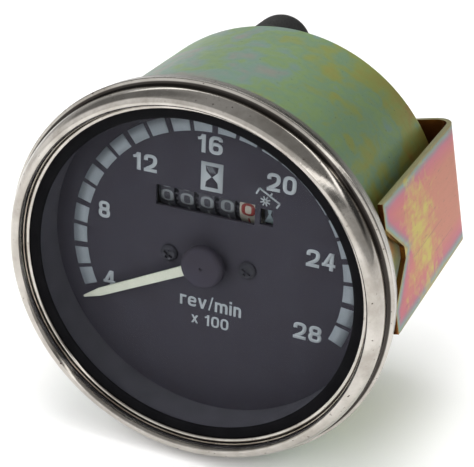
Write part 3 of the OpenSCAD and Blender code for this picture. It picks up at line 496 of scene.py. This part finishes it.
thin, crown_r = 0.7, 49.2
crown_out = quarter((crown_r, -6.0), 3.0, 4.2, 0, 90, 25)
crown_in = quarter((crown_r, -7.3), 1.2, 2.9, 105, 180, 11)
under_in = quarter((crown_r, -7.3), 1.2 - thin, 2.9 - thin, 180, 105, 9)
under_out = quarter((crown_r, -6.0), 3.0 - thin, 4.2 - thin, 90, 0, 13)
outer = soften([(50.5, 0), (53.1, 0), (53.5, -0.4), (53.9, -3.9), (53.75, -4.2), (52.5, -4.5),
                (52.2, -4.9), (52.2, -5.6)], [0.05, 0.15, 0.2, 0.2, 0.15, 0.15, 0.15, 0.1], closed=False)
bead = quarter((47.4, -6.62), 0.6, 0.48, 20, 180, 17)
lip = np.concatenate([[(48.0, -6.95), (48.0, -6.8)], bead, [(46.8, -6.1), (48.6, -6.1)]])
inner = np.array([(51.5, -4.1), (52.8, -3.5), (52.8, -0.7), (50.5, -0.7)])
profile = np.concatenate([outer, crown_out, crown_in, lip, under_in, under_out, inner])
build("bezel_ring", [lathe(profile, 360)], "bezel", "satin_nickel", satin_nickel)

# %% [markdown]
# ## The case
# A can, drawn from sheet and closed at the back, with a flange that the bezel clamps. Drawing
# leaves a rounded rear corner. Only the outside shows, but the wall is given its real thickness.
# The glass lies on the flange, and a black seal ring on it shows as a dark line inside the lip.

# %% Case and seal
profile = np.concatenate([
    soften([(49.2, -1.7), (52.6, -1.7), (52.6, -0.7), (50.0, -0.7), (50.0, 57.0)],
           [0.1, 0.15, 0.1, 0.1, 0.0], closed=False),
    quarter((48.0, 57.0), 2.0, -2.0, 0, 90, 10)[1:],
    [(9.0, 59.0), (9.0, 58.0)],
    quarter((48.0, 57.0), 1.2, -1.0, 90, 0, 8)])
build("case_shell", [lathe(profile, 360)], "case_can", "passivated_steel", chromate_case)
seal = soften([(44.1, -5.4), (44.0, -5.65), (44.6, -6.1), (51.2, -6.1), (51.2, -5.4)],
              [0.1, 0.2, 0.3, 0.1, 0.1])
build("seal_ring", [lathe(seal, 256)], "glass_seal", "rubber", seal_rubber)

# %% [markdown]
# ## The clamping strap
# Flat strip, punched, notched at both ends and bent into a U. The outer face is laid out as
# patches: one round each hole, where rows run from the hole's circle to a rectangle, and one for
# each half of a leg, which runs over the bend to a foot and is cut back by the notch. Where
# patches meet they share points, so they weld into one sheet, and a modifier gives the thickness.

# %% Patches of the strap
# the outer face of the bridge, the outer radius of its bends, how far the legs lean in, the
# strip's thickness, and the depth of the notches' bottoms
back_y, bend_r, lean, strip, notch_y = 67.2, 6.0, math.radians(2.6), 1.4, 13.9
case_r, clearance = 50, 0.5
notch_low, notch_high = 1.5, 11
leg_r = case_r + clearance + strip / math.cos(lean) + math.tan(lean) * (back_y - notch_y)
bend_x = leg_r - bend_r * (1 + math.sin(lean)) / math.cos(lean)
spread = np.linspace(-1, 1, 25)


def round_hole(x0, x1, hole_x, hole_r):
    """A flat patch round a hole: (1 - k) * circle + k * rectangle, with k from 0 to 1."""
    side = spread[:-1]
    x = np.concatenate([(x0 + x1) / 2 + (x1 - x0) / 2 * side, side * 0 + x1,
                        (x0 + x1) / 2 - (x1 - x0) / 2 * side, side * 0 + x0])
    z = np.concatenate([side * 0 - half, half * side, side * 0 + half, -half * side])
    a = np.arctan2(z, x - hole_x)
    k = (np.linspace(0, 1, 8) ** 1.5)[:, None]
    px = (1 - k) * (hole_x + hole_r * np.cos(a)) + k * x
    pz = (1 - k) * hole_r * np.sin(a) + k * z
    return sheet(px, back_y, pz, False, True)


def leg(side, upper):
    """Half a leg: z from the notch's edge to the strip's edge, along the bend and down the leg. The
    notch's half width is 1.5 + 0.84 * (13.9 - y), eased where it meets the notch's bottom."""
    a = np.linspace(math.pi / 2, -lean, 17)
    bend = np.stack([bend_x + bend_r * np.cos(a), back_y - bend_r + bend_r * np.sin(a)], -1)
    slope, corner = (notch_high - notch_low) / (notch_y - feet_y), 0.2
    ease = np.radians([30, 60, 90])
    above = np.linspace(bend[-1, 1], notch_y, 30)[1:]
    below = np.linspace(notch_y - corner, feet_y, 12)[1:]
    y = np.concatenate([above, notch_y - corner * (1 - np.cos(ease)), below])
    path = np.concatenate([bend, np.stack([leg_r - math.tan(lean) * (back_y - y), y], -1)])
    notch = np.concatenate([0 * bend[:, 0], 0 * above, (notch_low + corner * slope) * np.sin(ease),
                            notch_low + slope * (notch_y - below)])[:, None]
    z = upper * (notch + (half - notch) * np.linspace(0, 1, 13))
    return sheet(side * path[:, 0, None], path[:, 1, None], z)


print("strap: its legs reach", round(leg_r, 2), "mm from the axis, and its bends begin at", round(bend_x, 2))

# %% [markdown]
# The patches are turned to the strap's place on the case and welded. Solidify then gives the sheet
# its thickness inwards, and a small bevel takes the sharpness off the punched edges.

# %% Strap
def turned_by(part, a):
    """Turns points about the Y axis by a, anticlockwise seen from the dial's side."""
    p, f = part
    return np.stack([p[:, 0] * math.cos(a) - p[:, 2] * math.sin(a), p[:, 1],
                     p[:, 0] * math.sin(a) + p[:, 2] * math.cos(a)], -1), f


stud_r, seam, middle_hole, stud_hole = 32, 18, 14.86, 3.3
patches = [round_hole(-seam, seam, 0, middle_hole), round_hole(seam, bend_x, stud_r, stud_hole),
           round_hole(-bend_x, -seam, -stud_r, stud_hole)]
patches += [leg(s, u) for s in (1, -1) for u in (1, -1)]
clamp_strap = build("clamp_strap", [turned_by(p, STRAP_TURN) for p in patches], "bracket", "strap_steel",
                    chromate_strap, "clamp_group", 30)
if clamp_strap.data.polygons[0].normal.y < 0:
    clamp_strap.data.flip_normals()
thick = clamp_strap.modifiers.new("thickness", "SOLIDIFY")
thick.thickness, thick.offset, thick.use_even_offset = strip * MM, -1.0, True
eased = clamp_strap.modifiers.new("eased_edges", "BEVEL")
eased.width, eased.segments, eased.limit_method, eased.angle_limit = 0.2 * MM, 2, "ANGLE", math.radians(40)

# %% [markdown]
# ## Scale blocks and marks on the dial
# The dial is printed. Each mark is a film of ink a few hundredths of a millimetre thick, so it
# is a flat shape that stands that much proud of the paint. A block is a patch of a ring, with its
# corners at a radius and an angle.

# %% Scale blocks
dial_face, ink = 6.3, 0.04
# the print sits a little to the right and low on the plate, as cheap pad printing does
shift = np.array([0.6, 0.0, -0.3])


def sector(r0, r1, a0, a1, rows=2, columns=13):
    """Part of a flat ring: (r sin a, r cos a), with a clockwise from twelve o'clock."""
    r = np.linspace(r0, r1, rows)[:, None]
    a = np.radians(np.linspace(a1, a0, columns))[None, :]
    return sheet(r * np.sin(a), dial_face - ink, r * np.cos(a))


def printed(name, parts, material, slot="pointer_paint", body="housing"):
    """A film of ink: flat parts that face the viewer, given their thickness from behind."""
    if body == "housing":
        parts = [(p + shift, f) for p, f in parts]
    film = build(name, parts, None, slot, material, body, solid=False).modifiers.new("film", "SOLIDIFY")
    film.thickness, film.offset = ink * MM, -1.0


# in degrees: the blocks' pitch and the gaps between them, every second one wider. In mm: their radii
pitch, wide_gap, narrow_gap, inner_r, outer_r = 9.52, 2.41, 1.65, 37.0, 41.1
edges = [(n - 12) * pitch for n in range(25)]
gaps = [narrow_gap if n % 2 else wide_gap for n in range(25)]
blocks = [sector(inner_r, outer_r, edges[n] + gaps[n] / 2, edges[n + 1] - gaps[n + 1] / 2) for n in range(24)]
printed("scale_blocks", blocks, print_grey)

# %% [markdown]
# ## Figures
# The figures are a plain bold grotesque, drawn here as a sign painter would: each stroke is a
# brush of one width carried along a path with rounded corners, and slanted strokes are cut level
# at both ends. Every letter lives in a box one unit high, which is then scaled to millimetres. A
# flat shape's points are how far right, how high and how far to the front they are.

# %% Brush strokes
def brush(points, width, bend=0.25, closed=False, rows=28):
    """A stroke: the path P(s), evenly spaced after rounding its corners, and P +- n * width / 2,
    where n is the path's unit normal."""
    path = soften(points, bend, 7, closed)
    if closed:
        path = np.concatenate([path, path[:1]])
    step = np.linalg.norm(np.diff(path, axis=0), axis=1)
    path = path[np.concatenate([[True], step > 1e-6])]
    run = np.concatenate([[0], np.cumsum(np.linalg.norm(np.diff(path, axis=0), axis=1))])
    s = np.linspace(0, run[-1], rows)
    p = np.stack([np.interp(s, run, path[:, 0]), np.interp(s, run, path[:, 1])], -1)
    if closed:
        way = np.roll(p[:-1], -1, 0) - np.roll(p[:-1], 1, 0)
        way = np.concatenate([way, way[:1]])
    else:
        way = np.gradient(p, axis=0)
    normal = np.stack([-way[:, 1], way[:, 0]], -1) / np.linalg.norm(way, axis=1)[:, None]
    sides = np.stack([p + normal * width / 2, p - normal * width / 2], 1)
    return sheet(sides[..., 0], sides[..., 1], 0.0)


def slant(x0, z0, x1, z1, width, rows=9):
    """A straight stroke with level ends: x = x0 + (x1 - x0) k -+ width / 2, z = z0 + (z1 - z0) k."""
    k = np.linspace(0, 1, rows)[:, None]
    x = x0 + (x1 - x0) * k + width / 2 * np.array([[-1.0, 1.0]])
    return sheet(x, z0 + (z1 - z0) * k, 0.0)

# %% [markdown]
# The letters are lists of strokes. Curved ones are brushed along a path, straight ones are slants,
# and a few proportions that return are named: the stroke's half width, the right side, and the
# height of a small letter.

# %% Letter shapes
def letter_shapes(w):
    """Every character as strokes of width w in a box one unit high, and the box's own width."""
    h, r, x = w / 2, 0.64 - w / 2, 0.73
    top, low = 1 - h, h
    arch = [(h, 0.3), (h, x - h), (0.5 - h, x - h), (0.5 - h, 0)]

    def bowl(x0, x1, z0, z1, bend, rows=36):
        """A closed ring inside a box, with its corners rounded by bend."""
        return brush([(x0, z1), (x1, z1), (x1, z0), (x0, z0)], w, bend, True, rows)

    def bar(x0, x1, z, width=w):
        """A level stroke from x0 to x1 at the height z."""
        return brush([(x0, z), (x1, z)], width, 0, rows=6)

    return {
        "0": ([bowl(h, r, low, top, 0.3, 40)], 0.64),
        "1": ([slant(0.30, 0, 0.30, 1, w),
               brush([(0.03, 0.74), (0.18, 0.77), (0.27, 0.94)], w * 0.8, 0.1)], 0.44),
        "2": ([brush([(h, 0.64), (h, top), (r, top), (r, 0.46), (h + 0.03, 0.15)], w, 0.27),
               bar(0.0, 0.63, h)], 0.64),
        "3": ([brush([(h, 0.74), (h, top), (r - 0.02, top), (r - 0.02, 0.54), (0.24, 0.54)], w, 0.22),
               brush([(0.24, 0.54), (r, 0.54), (r, low), (h, low), (h, 0.28)], w, 0.24)], 0.64),
        "4": ([slant(0.45, 0, 0.45, 1, w), bar(0.0, 0.64, 0.3, w * 0.9),
               slant(0.09, 0.24, 0.42, 1, w)], 0.64),
        "5": ([bar(0.12, 0.58, top), slant(h + 0.02, 0.45, h + 0.06, 1, w),
               brush([(h, 0.5), (0.2, 0.6), (r, 0.6), (r, low), (h, low), (h, 0.27)], w, 0.24)], 0.64),
        "6": ([bowl(h, r, low, 0.56, 0.24),
               brush([(h, 0.3), (h, top), (r - 0.02, top), (r - 0.01, 0.74)], w, 0.32)], 0.64),
        "7": ([bar(0.02, 0.62, top), slant(0.24, 0, 0.52, 0.9, w)], 0.64),
        "8": ([bowl(h, r, low, 0.51, 0.22), bowl(h + 0.02, r - 0.02, 0.52, top, 0.2)], 0.64),
        "9": ([bowl(h, r, 0.44, top, 0.24),
               brush([(h + 0.01, 0.26), (h + 0.02, low), (r, low), (r, 0.7)], w, 0.32)], 0.64),
        "r": ([slant(h, 0, h, x, w), brush([(h, 0.3), (h, x - h), (0.42, x - h - 0.01)], w, 0.2)], 0.42),
        "e": ([bar(h, 0.52, 0.38, w * 0.8),
               brush([(0.56 - h, 0.38), (0.56 - h, x - h), (h, x - h), (h, h), (0.56 - h, h), (0.55 - h, 0.2)],
                     w, 0.2)], 0.56),
        "v": ([slant(h, x, 0.29, 0, w), slant(0.58 - h, x, 0.29, 0, w)], 0.58),
        "/": ([slant(0.05, 0, 0.27, 1, w * 0.6)], 0.32),
        "m": ([slant(h, 0, h, x, w), brush(arch, w, 0.2),
               brush([(px + 0.5 - w, pz) for px, pz in arch], w, 0.2)], 1.0 - w),
        "i": ([slant(h, 0, h, x, w), slant(h, 0.84, h, 1, w, 2)], w),
        "n": ([slant(h, 0, h, x, w), brush(arch, w, 0.2)], 0.5),
        "x": ([slant(h, 0, 0.56 - h, x, w), slant(h, x, 0.56 - h, 0, w)], 0.56),
        "|": ([slant(h, 0, h, 1, w)], w),
        " ": ([], 0.3),
    }


print(len(letter_shapes(0.19)), "characters drawn")

# %% [markdown]
# With the letters ready, a word is its letters set one after another. It is scaled to the height
# and width measured on the real dial, and laid on the paint.

# %% Dial figures
def facing_viewer(flat, faces):
    """Faces turned so that they run anticlockwise: (b - a) x (c - a) > 0 for a stroke's first face."""
    a, b, c = flat[faces[0, :3]]
    ahead = (b[0] - a[0]) * (c[1] - a[1]) - (b[1] - a[1]) * (c[0] - a[0])
    return faces if ahead > 0 else faces[:, ::-1]


def lettering(text, height, width, weight=0.19, gap=0.11):
    """Flat text, one capital high and width wide, with its middle at zero. Each stroke lies a hair in
    front of the one before it, so that none share a plane."""
    shapes, pen, parts = letter_shapes(weight), 0.0, []
    for character in text:
        strokes_of, wide = shapes[character]
        for flat, faces in strokes_of:
            parts.append((flat + [pen, 0.0, 0.001 * len(parts)], facing_viewer(flat, faces)))
        pen += wide + gap
    flat, faces = joined(parts)
    low, high = flat[:, 0].min(), flat[:, 0].max()
    x = (flat[:, 0] - (low + high) / 2) * width / (high - low)
    return np.stack([x, (flat[:, 1] - 0.5) * height, flat[:, 2]], -1), faces


def on_dial(shape, x=0, z=0, lift=ink):
    """Lays a flat shape on the dial with its middle at (x, z) and its face lift above the paint."""
    flat, faces = shape
    return np.stack([flat[:, 0] + x, dial_face - lift - flat[:, 2], flat[:, 1] + z], -1), faces


figures = [("4", -30.2, -12.3, 3.7), ("8", -31.6, 8.7, 3.5), ("12", -19.5, 25.0, 7.0), ("16", -1.2, 33.6, 7.0),
           ("20", 18.6, 26.8, 7.9), ("24", 30.4, 8.0, 7.9), ("28", 28.3, -14.1, 7.9)]
words = [on_dial(lettering(text, 5.0, width), x, z) for text, x, z, width in figures]
printed("dial_figures", words, print_white)
printed("unit_words", [on_dial(lettering("rev/min", 4.2, 18.0, 0.16), 0.4, -12.6),
                       on_dial(lettering("x 100", 3.4, 11.0, 0.17), 0.4, -18.0)], print_white)

# %% [markdown]
# ## Marks
# Above the counter the dial carries an hourglass in a light box, and beside it a power take-off
# sign: a star on a tilted bracket, with a tick. They are generic signs, drawn from straight
# strokes and flat outlines, and what lies on other print stands a film higher.

# %% Dial marks
def strokes(lines, width, lift=ink):
    """Thin rectangles along line segments ((x0, z0), (x1, z1)): each end plus and minus n."""
    parts = []
    for (x0, z0), (x1, z1) in lines:
        d = np.array([x1 - x0, z1 - z0])
        n = np.array([-d[1], d[0]]) / np.linalg.norm(d) * width / 2
        sides = np.array([[(x0, z0) + n, (x1, z1) + n], [(x0, z0) - n, (x1, z1) - n]])
        parts.append(on_dial(sheet(sides[..., 0], sides[..., 1], 0.0), lift=lift))
    return parts


def outline_fill(points, lift=ink):
    """A fan of triangles that fills a flat outline."""
    p = np.asarray(points, float)
    ring = np.arange(len(p))
    faces = np.stack([ring, np.roll(ring, -1), ring * 0 + len(p)], -1)
    return on_dial((np.pad(np.concatenate([p, [p.mean(0)]]), ((0, 0), (0, 1))), faces), lift=lift)


printed("light_box", [outline_fill([(-3.5, 20.65), (2.65, 20.65), (2.65, 28.7), (-3.5, 28.7)])], print_white)
bulb = np.array([(-0.18, 0.05), (0.18, 0.05), (1.6, 1.45), (1.8, 2.95), (-1.8, 2.95), (-1.6, 1.45)])
sand = [outline_fill(bulb * (1, way) + (-0.42, 24.7), 2 * ink) for way in (1, -1)]
printed("hourglass", sand, dial_paint, "dial_paint")
falls = [((x, 27.5), (x + 1.1, 25.9)) for x in (-1.9, -1.25, -0.6)]
printed("hourglass_lines", strokes(falls, 0.16, 3 * ink), print_white)
rays = [1.4 * np.array([math.cos(a), math.sin(a)]) for a in np.radians(np.arange(0, 180, 45) + 20)]
star = [((14.47, 21.13) - ray, (14.47, 21.13) + ray) for ray in rays]
arms = [((11.92, 22.69), (12.76, 24.46)), ((12.76, 24.46), (18.42, 21.17)), ((18.42, 21.17), (17.58, 19.77)),
        ((15.65, 22.67), (16.27, 23.73))]
printed("take_off_mark", strokes(star, 0.38) + strokes(arms, 0.5), print_white)

# %% [markdown]
# ## Pointer and hub
# The pointer is a strip of thin aluminium, painted cream and stamped to a point, pressed under a
# black cap. Its outline is a half width that changes along the length.

# %% Pointer
def blade(length, half_width, tip, y0, y1, turn):
    """A flat bar that tapers to a tip: rows along it, and a rounded rectangle across it."""
    along = np.array([0, 0, 0.15, 2, 5, 10, 20, 30, length - tip, length - tip / 2, length - 0.3, length, length])
    wide = np.interp(along, [0, length - tip, length], [half_width, 0.8 * half_width, 0.25])
    wide[[0, -1]] = 0
    ring = soften([(-1, -1), (1, -1), (1, 1), (-1, 1)], 0.18, 3)
    x = wide[:, None] * ring[None, :, 0]
    y = (y0 + y1) / 2 + (y1 - y0) / 2 * ring[None, :, 1] * np.where(wide > 0, 1, 0)[:, None]
    a = math.radians(turn)
    z = along[:, None]
    return sheet(x * math.cos(a) + z * math.sin(a), y, -x * math.sin(a) + z * math.cos(a), False, True)


collar = lathe(soften([(0.8, 3.3), (4.8, 3.3), (4.8, 3.9), (0.8, 3.9)], 0.1, 3), 64)
needle = blade(length=40.5, half_width=1.45, tip=5.5, y0=3.3, y1=3.9, turn=-117)
build("pointer_blade", [needle, collar], "pointer", "pointer_paint", cream_paint, "pointer_group")
cap = soften([(0, 1.6), (0.35, 1.6), (0.45, 0.9), (4.9, 0.9), (5.7, 1.2), (6.0, 1.9), (6.0, 3.3), (0.8, 3.3),
              (0.8, 3.0), (0, 3.0)], [0, 0.05, 0.1, 0.6, 0.4, 0.4, 0.1, 0.05, 0.05, 0], closed=False)
build("hub_dome", [lathe(cap, 96, False)], "hub_cap", "black_paint", cap_black, "pointer_group")

# %% [markdown]
# ## Figures on the drums
# Ten figures go round each drum. Flat lettering is wrapped on the cylinder: its height becomes an
# angle. The figures run downwards in order, so the next one comes up from below the window.

# %% Drum figures
drum_y, drum_z, drum_r, lift, figures_right = 16.3, 16.3, 7.0, 0.03, 0.2


def on_drum(word, x, angle, radius=drum_r):
    """Wraps flat lettering on a drum: y = -r cos(s), z = r sin(s), with s = height / r + angle."""
    flat, faces = word
    s = flat[:, 1] / radius + angle
    r = radius + lift + flat[:, 2]
    return np.stack([flat[:, 0] + x, drum_y - r * np.cos(s), drum_z + r * np.sin(s)], -1), faces


# the one is a bare bar, lower than the rest, so that it doesn't touch the nought above it
digits = [lettering("|", 3.1, 0.5, 0.17) if n == 1 else lettering(str(n), 3.7, 3.8, 0.17) for n in range(10)]
# no two drums of a worn counter stop in line: each stands a little low, the last one least
sag = [0.196, 0.189, 0.152, 0.109, 0.077]
for n, (x, low) in enumerate(zip([-14.0, -8.2, -2.4, 3.4, 9.2], sag), 1):
    parts = [on_drum(digits[k], x + figures_right, -low - math.radians(36 * k)) for k in range(10)]
    printed(f"drum_{n}_figures", parts, figure_red if n == 5 else figure_ink, "drum_ivory", f"drum_{n}_group")

# %% [markdown]
# ## Mark on the running indicator
# A small drum beside the last figure turns quickly while the engine runs. It carries pale
# hourglass marks, a waisted strip that is narrow in the middle, wrapped like the figures.

# %% Running marks
k, across = np.linspace(1, -1, 17)[:, None], np.array([[-1.0, -0.33, 0.33, 1.0]])
waist = 0.3 + np.where(k > 0, 0.9, 1.35) * np.abs(k)
glass_mark = sheet(waist * across, 3.0 * k, 0.0)
mark_x, mark_r, first_mark = 15.35, 6.8, -5
marks = [on_drum(glass_mark, mark_x, math.radians(first_mark + 90 * n), mark_r) for n in range(4)]
printed("running_marks", marks, print_blue, "drum_ivory", "indicator_group")

# %% [markdown]
# ## Behind the case
# The drive connector and the studs are threaded. A thread is the same turned profile with a
# groove whose place round the axis shifts by one pitch a turn. A nut is a hexagon cut by a cone at
# both ends, which is the smaller of two radii.

# %% Connector and studs
# a thread's depths are about a tenth of its pitch apart, so that its flanks look even
thread_y = np.linspace(64.0, 74.0, 68)
profile = np.concatenate([[(4.6, 55), (9, 55), (9, 62.5), (8.2, 62.8), (8.2, 63.4), (9, 64.0)],
                          np.stack([thread_y * 0 + 9, thread_y], -1),
                          [(8.0, 75), (6.8, 75), (6.8, 64), (4.6, 64)]])
# the thread's depth grows over its first 0.8 mm and dies out in its last half millimetre
depth = 0.75 * np.clip((thread_y - 64) / 0.8, 0, 1) * np.clip((74 - thread_y) / 0.5 + 0.3, 0, 1)
groove = np.concatenate([np.zeros(6), depth, np.zeros(4)])
build("drive_connector", [lathe(profile, 120, True, pitch=1.5, groove=groove)], "drive_nipple", "steel",
      bright_zinc, crease=40)

stud_places = [(s * stud_r * math.cos(STRAP_TURN), s * stud_r * math.sin(STRAP_TURN)) for s in (1, -1)]
thread_y = np.linspace(60.0, 78.4, 154)
profile = np.concatenate([[(0, 53), (5.2, 53), (5.4, 53.2), (5.4, 55), (3, 55)],
                          np.stack([thread_y * 0 + 3, thread_y], -1), [(2.3, 79), (0, 79)]])
groove = np.concatenate([np.zeros(5), 0.5 * np.clip((78.4 - thread_y) / 0.5 + 0.2, 0, 1), np.zeros(2)])
build("strap_studs", [lathe(profile, 60, False, at, 1.0, groove) for at in stud_places], "bracket_studs",
      "steel", bright_zinc, crease=40)

# %% [markdown]
# A pair of nuts and washers clamps the movement to the case's back, and a second pair clamps the
# strap on top of it. The middle nut holds the drive connector.

# %% Nuts and washers
def hex_nut(flats, bore, y0, y1, centre=(0, 0), steps=96):
    """Radius round the nut = min(hexagon, cone at each end): the cone starts at 0.95 of the flats
    and opens by 1.73 mm per mm."""
    a = np.linspace(0, 2 * np.pi, steps, endpoint=False)[None, :]
    hexagon = flats / 2 / np.cos(a % (np.pi / 3) - np.pi / 6)
    rise = (1 / math.cos(math.pi / 6) - 0.95) * flats / 2 / 1.73
    chamfer = np.linspace(0, rise, 7)
    y = np.concatenate([y0 + chamfer, y1 - chamfer[::-1]])
    cone = 0.95 * flats / 2 + 1.73 * np.minimum(y - y0, y1 - y)
    r = np.concatenate([np.minimum(hexagon, cone[:, None]), np.full((2, steps), bore)])
    y = np.concatenate([y, [y1, y0]])[:, None]
    return sheet(centre[0] + r * np.cos(a), y, centre[1] + r * np.sin(a), True, True)


hardware = "steel", bright_zinc
build("connector_nut", [hex_nut(24, 9, 59, 62.5)], "nipple_nut", *hardware, crease=28)
washer, nut = 1.6, 5.2
for pair, node, body, y in (("movement", "frame", "housing", 59.0), ("strap", "stud", "clamp_group", back_y)):
    ring = soften([(3.2, y), (6.2, y), (6.2, y + washer), (3.2, y + washer)], 0.2, 3)
    build(pair + "_washers", [lathe(ring, 72, True, at) for at in stud_places], node + "_washers", *hardware, body)
    nuts = [hex_nut(10, 3, y + washer, y + washer + nut, at, 72) for at in stud_places]
    build(pair + "_nuts", nuts, node + "_nuts", *hardware, body, 28)

# %% [markdown]
# ## The rubber boot
# A moulded cap over the lamp holder: thick walled, with a rolled foot, a soft shoulder and a
# shallow ring round the outlet, where the lead would leave.

# %% Boot
profile = soften([(7.4, 59.0), (9.1, 59.0), (9.1, 61.0), (8.9, 61.8), (8.9, 73.4), (8.3, 75.4), (6.4, 76.2),
                  (3.6, 76.2), (3.2, 75.7), (1.6, 75.7), (1.6, 74.6), (6.0, 74.6), (7.5, 73.0), (7.5, 61.0),
                  (7.4, 60.0)], [0.1, 0.5, 0.4, 0.4, 1.4, 1.2, 0.8, 0.3, 0.2, 0.2, 0.1, 0.3, 0.5, 0.2, 0.1], 5)
build("lamp_cap", [lathe(profile, 128, True, (-6.5, 39.8))], "lamp_boot", "rubber", rubber)

# %% [markdown]
# ## Floor
# A pale floor carries the shadow. From 0.3 m to 0.9 m away it eases into the white of the
# background, for the camera and for what metal and glass mirror, so no view shows a horizon.

# %% Floor
floor_z = -0.0541
floor_mesh = bpy.data.meshes.new("floor")
floor_mesh.from_pydata([(x, y, floor_z) for x, y in ((-3, -3), (3, -3), (3, 3), (-3, 3))], [], [(0, 1, 2, 3)])
floor = put("floor", floor_mesh)
pale_board, t, place = start("pale_board")
away = add(t, "VectorMath", [place], "LENGTH")
seen = add(t, "MapRange", [away, 0.3, 0.9])
rays = add(t, "LightPath").outputs
looking = add(t, "Math", [rays["Is Camera Ray"], rays["Is Glossy Ray"]], "MAXIMUM")
looking = add(t, "Math", [looking, rays["Is Transmission Ray"]], "MAXIMUM")
white_share = add(t, "Math", [seen, looking], "MULTIPLY")
board = add(t, "BsdfPrincipled", {"Base Color": linear("#fbfbfb"), "Roughness": 0.9})
white = add(t, "Emission", {"Color": linear("#ffffff")})
add(t, "OutputMaterial", [add(t, "MixShader", [white_share, board, white])])
floor_mesh.materials.append(pale_board)
print("floor at", floor_z, "m")

# %% [markdown]
# ## The surround
# Bare metal shows its room more than itself. Plain studio walls light everything, the camera sees
# white, and mirrors see a room of soft cards: a bright strip lamp overhead, dark gaps beside it,
# and a window side that is lighter than the other. Each card is a band of directions, given by
# how far it lies from an axis.

# %% Tools for the surround
world = bpy.data.worlds.new("surround")
bpy.context.scene.world = world
world.use_nodes = True
t = world.node_tree
t.nodes.clear()
direction = add(t, "TexCoord").outputs["Generated"]
x, y, z = add(t, "SeparateXYZ", [direction]).outputs


def aim(az, el):
    """Unit vector az degrees to the right of the viewer's side and el degrees up."""
    az, el = math.radians(az), math.radians(el)
    return math.sin(az) * math.cos(el), -math.cos(az) * math.cos(el), math.sin(el)


def near(vector, middle, reach, soft):
    """1 where direction . vector is within reach of middle, and 0 beyond that, eased over soft."""
    return within(t, add(t, "VectorMath", [direction, vector], "DOT_PRODUCT"), middle, reach, soft)


def dimmed(share):
    """The window's light at this share of its strength."""
    return add(t, "Math", [window_side, share], "MULTIPLY")


zenith, arch = aim(0, 90), (-0.7394, 0.1541, 0.6555)
behind, ahead = near(aim(180, 0), 1, 0.75, 0.15), near(aim(0, 0), 1, 0.95, 0.2)
window_side = add(t, "MapRange", [x, -1.0, 1.0, 1.1, 0.5])
print("overhead is", np.round(zenith, 2), "and the arch runs round", arch)

# %% [markdown]
# The cards are laid one over another, each with its own brightness where its bands meet. A card
# can cover a part of one that was laid before it.

# %% Room of cards
room = window_side
for bands, value in (([near(zenith, 1, 0.4, 0.06)], dimmed(0.43)),
                     ([near(zenith, 0.53, 0.05, 0.015), behind], 2.4),
                     ([near(zenith, 0.2, 0.26, 0.03), behind], dimmed(0.5)),
                     ([near(zenith, 0.3, 0.15, 0.03), behind, near(aim(110, 0), 1, 0.9, 0.2)], 0.06),
                     ([near(aim(-95, 40), 1, 0.12, 0.05)], 0.22),
                     ([near(arch, -0.34, 0.06, 0.04), ahead], 0.14),
                     ([near(arch, -0.19, 0.045, 0.02), ahead], 2.4)):
    mask = bands[0]
    for other in bands[1:]:
        mask = add(t, "Math", [mask, other], "MULTIPLY")
    room = add(t, "MapRange", [mask, 0.0, 1.0, room, value])
mirrored = add(t, "CombineXYZ", [room, room, room])
walls = add(t, "ValToRGB", [z], {"stops": [(0.0, "#8c8c8c"), (0.45, "#a0a0a0"), (0.8, "#e0e0e0")]})
rays = add(t, "LightPath").outputs
open_view = add(t, "Math", [rays["Is Camera Ray"], rays["Is Transmission Ray"]], "MAXIMUM")
seen = add(t, "Mix", {"Factor": open_view, "A": walls, "B": linear("#ffffff")}, COLOURS)
shown = add(t, "Mix", {"Factor": rays["Is Glossy Ray"], "A": seen, "B": mirrored}, COLOURS)
add(t, "OutputWorld", [add(t, "Background", [shown])])
print("surround:", len(t.nodes), "nodes")

# %% [markdown]
# ## Lamps
# Light is plain and soft: a wide square lamp in front, one on each side and one above. Mirrors
# don't see them, because the cards stand for them there.

# %% Lamps
def stand(name, data, place, back, roll=0.0):
    """A lamp or camera at place, in metres, that looks away from back, upright and then rolled."""
    holder = put(name, data)
    upright = Vector(back).to_track_quat("Z", "Y").to_matrix().to_4x4()
    holder.matrix_world = Matrix.Translation(place) @ upright @ Matrix.Rotation(roll, 4, "Z")
    return holder


for name, place, target, size, power in (("lamp_front", (-0.2, -1.1, 0.65), (0, 0, 0), 0.7, 7),
                                         ("lamp_left", (-0.8, -0.4, 0.7), (0, 0, 0), 0.6, 4.5),
                                         ("lamp_right", (0.8, -0.3, 0.6), (0, 0.02, 0), 0.6, 2.5),
                                         ("lamp_top", (-0.05, 0.1, 0.95), (0, 0.02, 0), 0.6, 5)):
    light = bpy.data.lights.new(name, "AREA")
    light.shape, light.size, light.energy = "SQUARE", size, power
    stand(name, light, place, np.subtract(place, target)).visible_glossy = False
    print(name, "gives", power, "W")

# %% [markdown]
# ## Camera
# The camera stands where the photograph was taken from: a little to the right, well above, and a
# third of a metre away. That was solved from the rings and the scale blocks in the photograph.

# %% Camera
azimuth, elevation, roll = 21.2, 26.78, 2.63
distance, shift_right, shift_up, depth = 327.04, 7.35, 7.75, 6.0
sensor_width, focal_pixels, photo_width = 36.0, 1232.98, 474
back, right = np.array(aim(azimuth, elevation)), np.array(aim(azimuth + 90, 0))
place = (back * distance + right * shift_right + np.cross(back, right) * shift_up + [0, depth, 0]) * MM
lens = bpy.data.cameras.new("camera")
lens.sensor_width, lens.lens = sensor_width, sensor_width * focal_pixels / photo_width
lens.clip_start = 0.01
bpy.context.scene.camera = stand("camera", lens, place, back, math.radians(roll))
bpy.context.scene.view_settings.view_transform = "Standard"
print("camera at", np.round(place, 3), "with a lens of", round(lens.lens, 1), "mm")

# %% [markdown]
# ## Finish
# The view layer is brought up to date.

# %% Finish
bpy.context.view_layer.update()
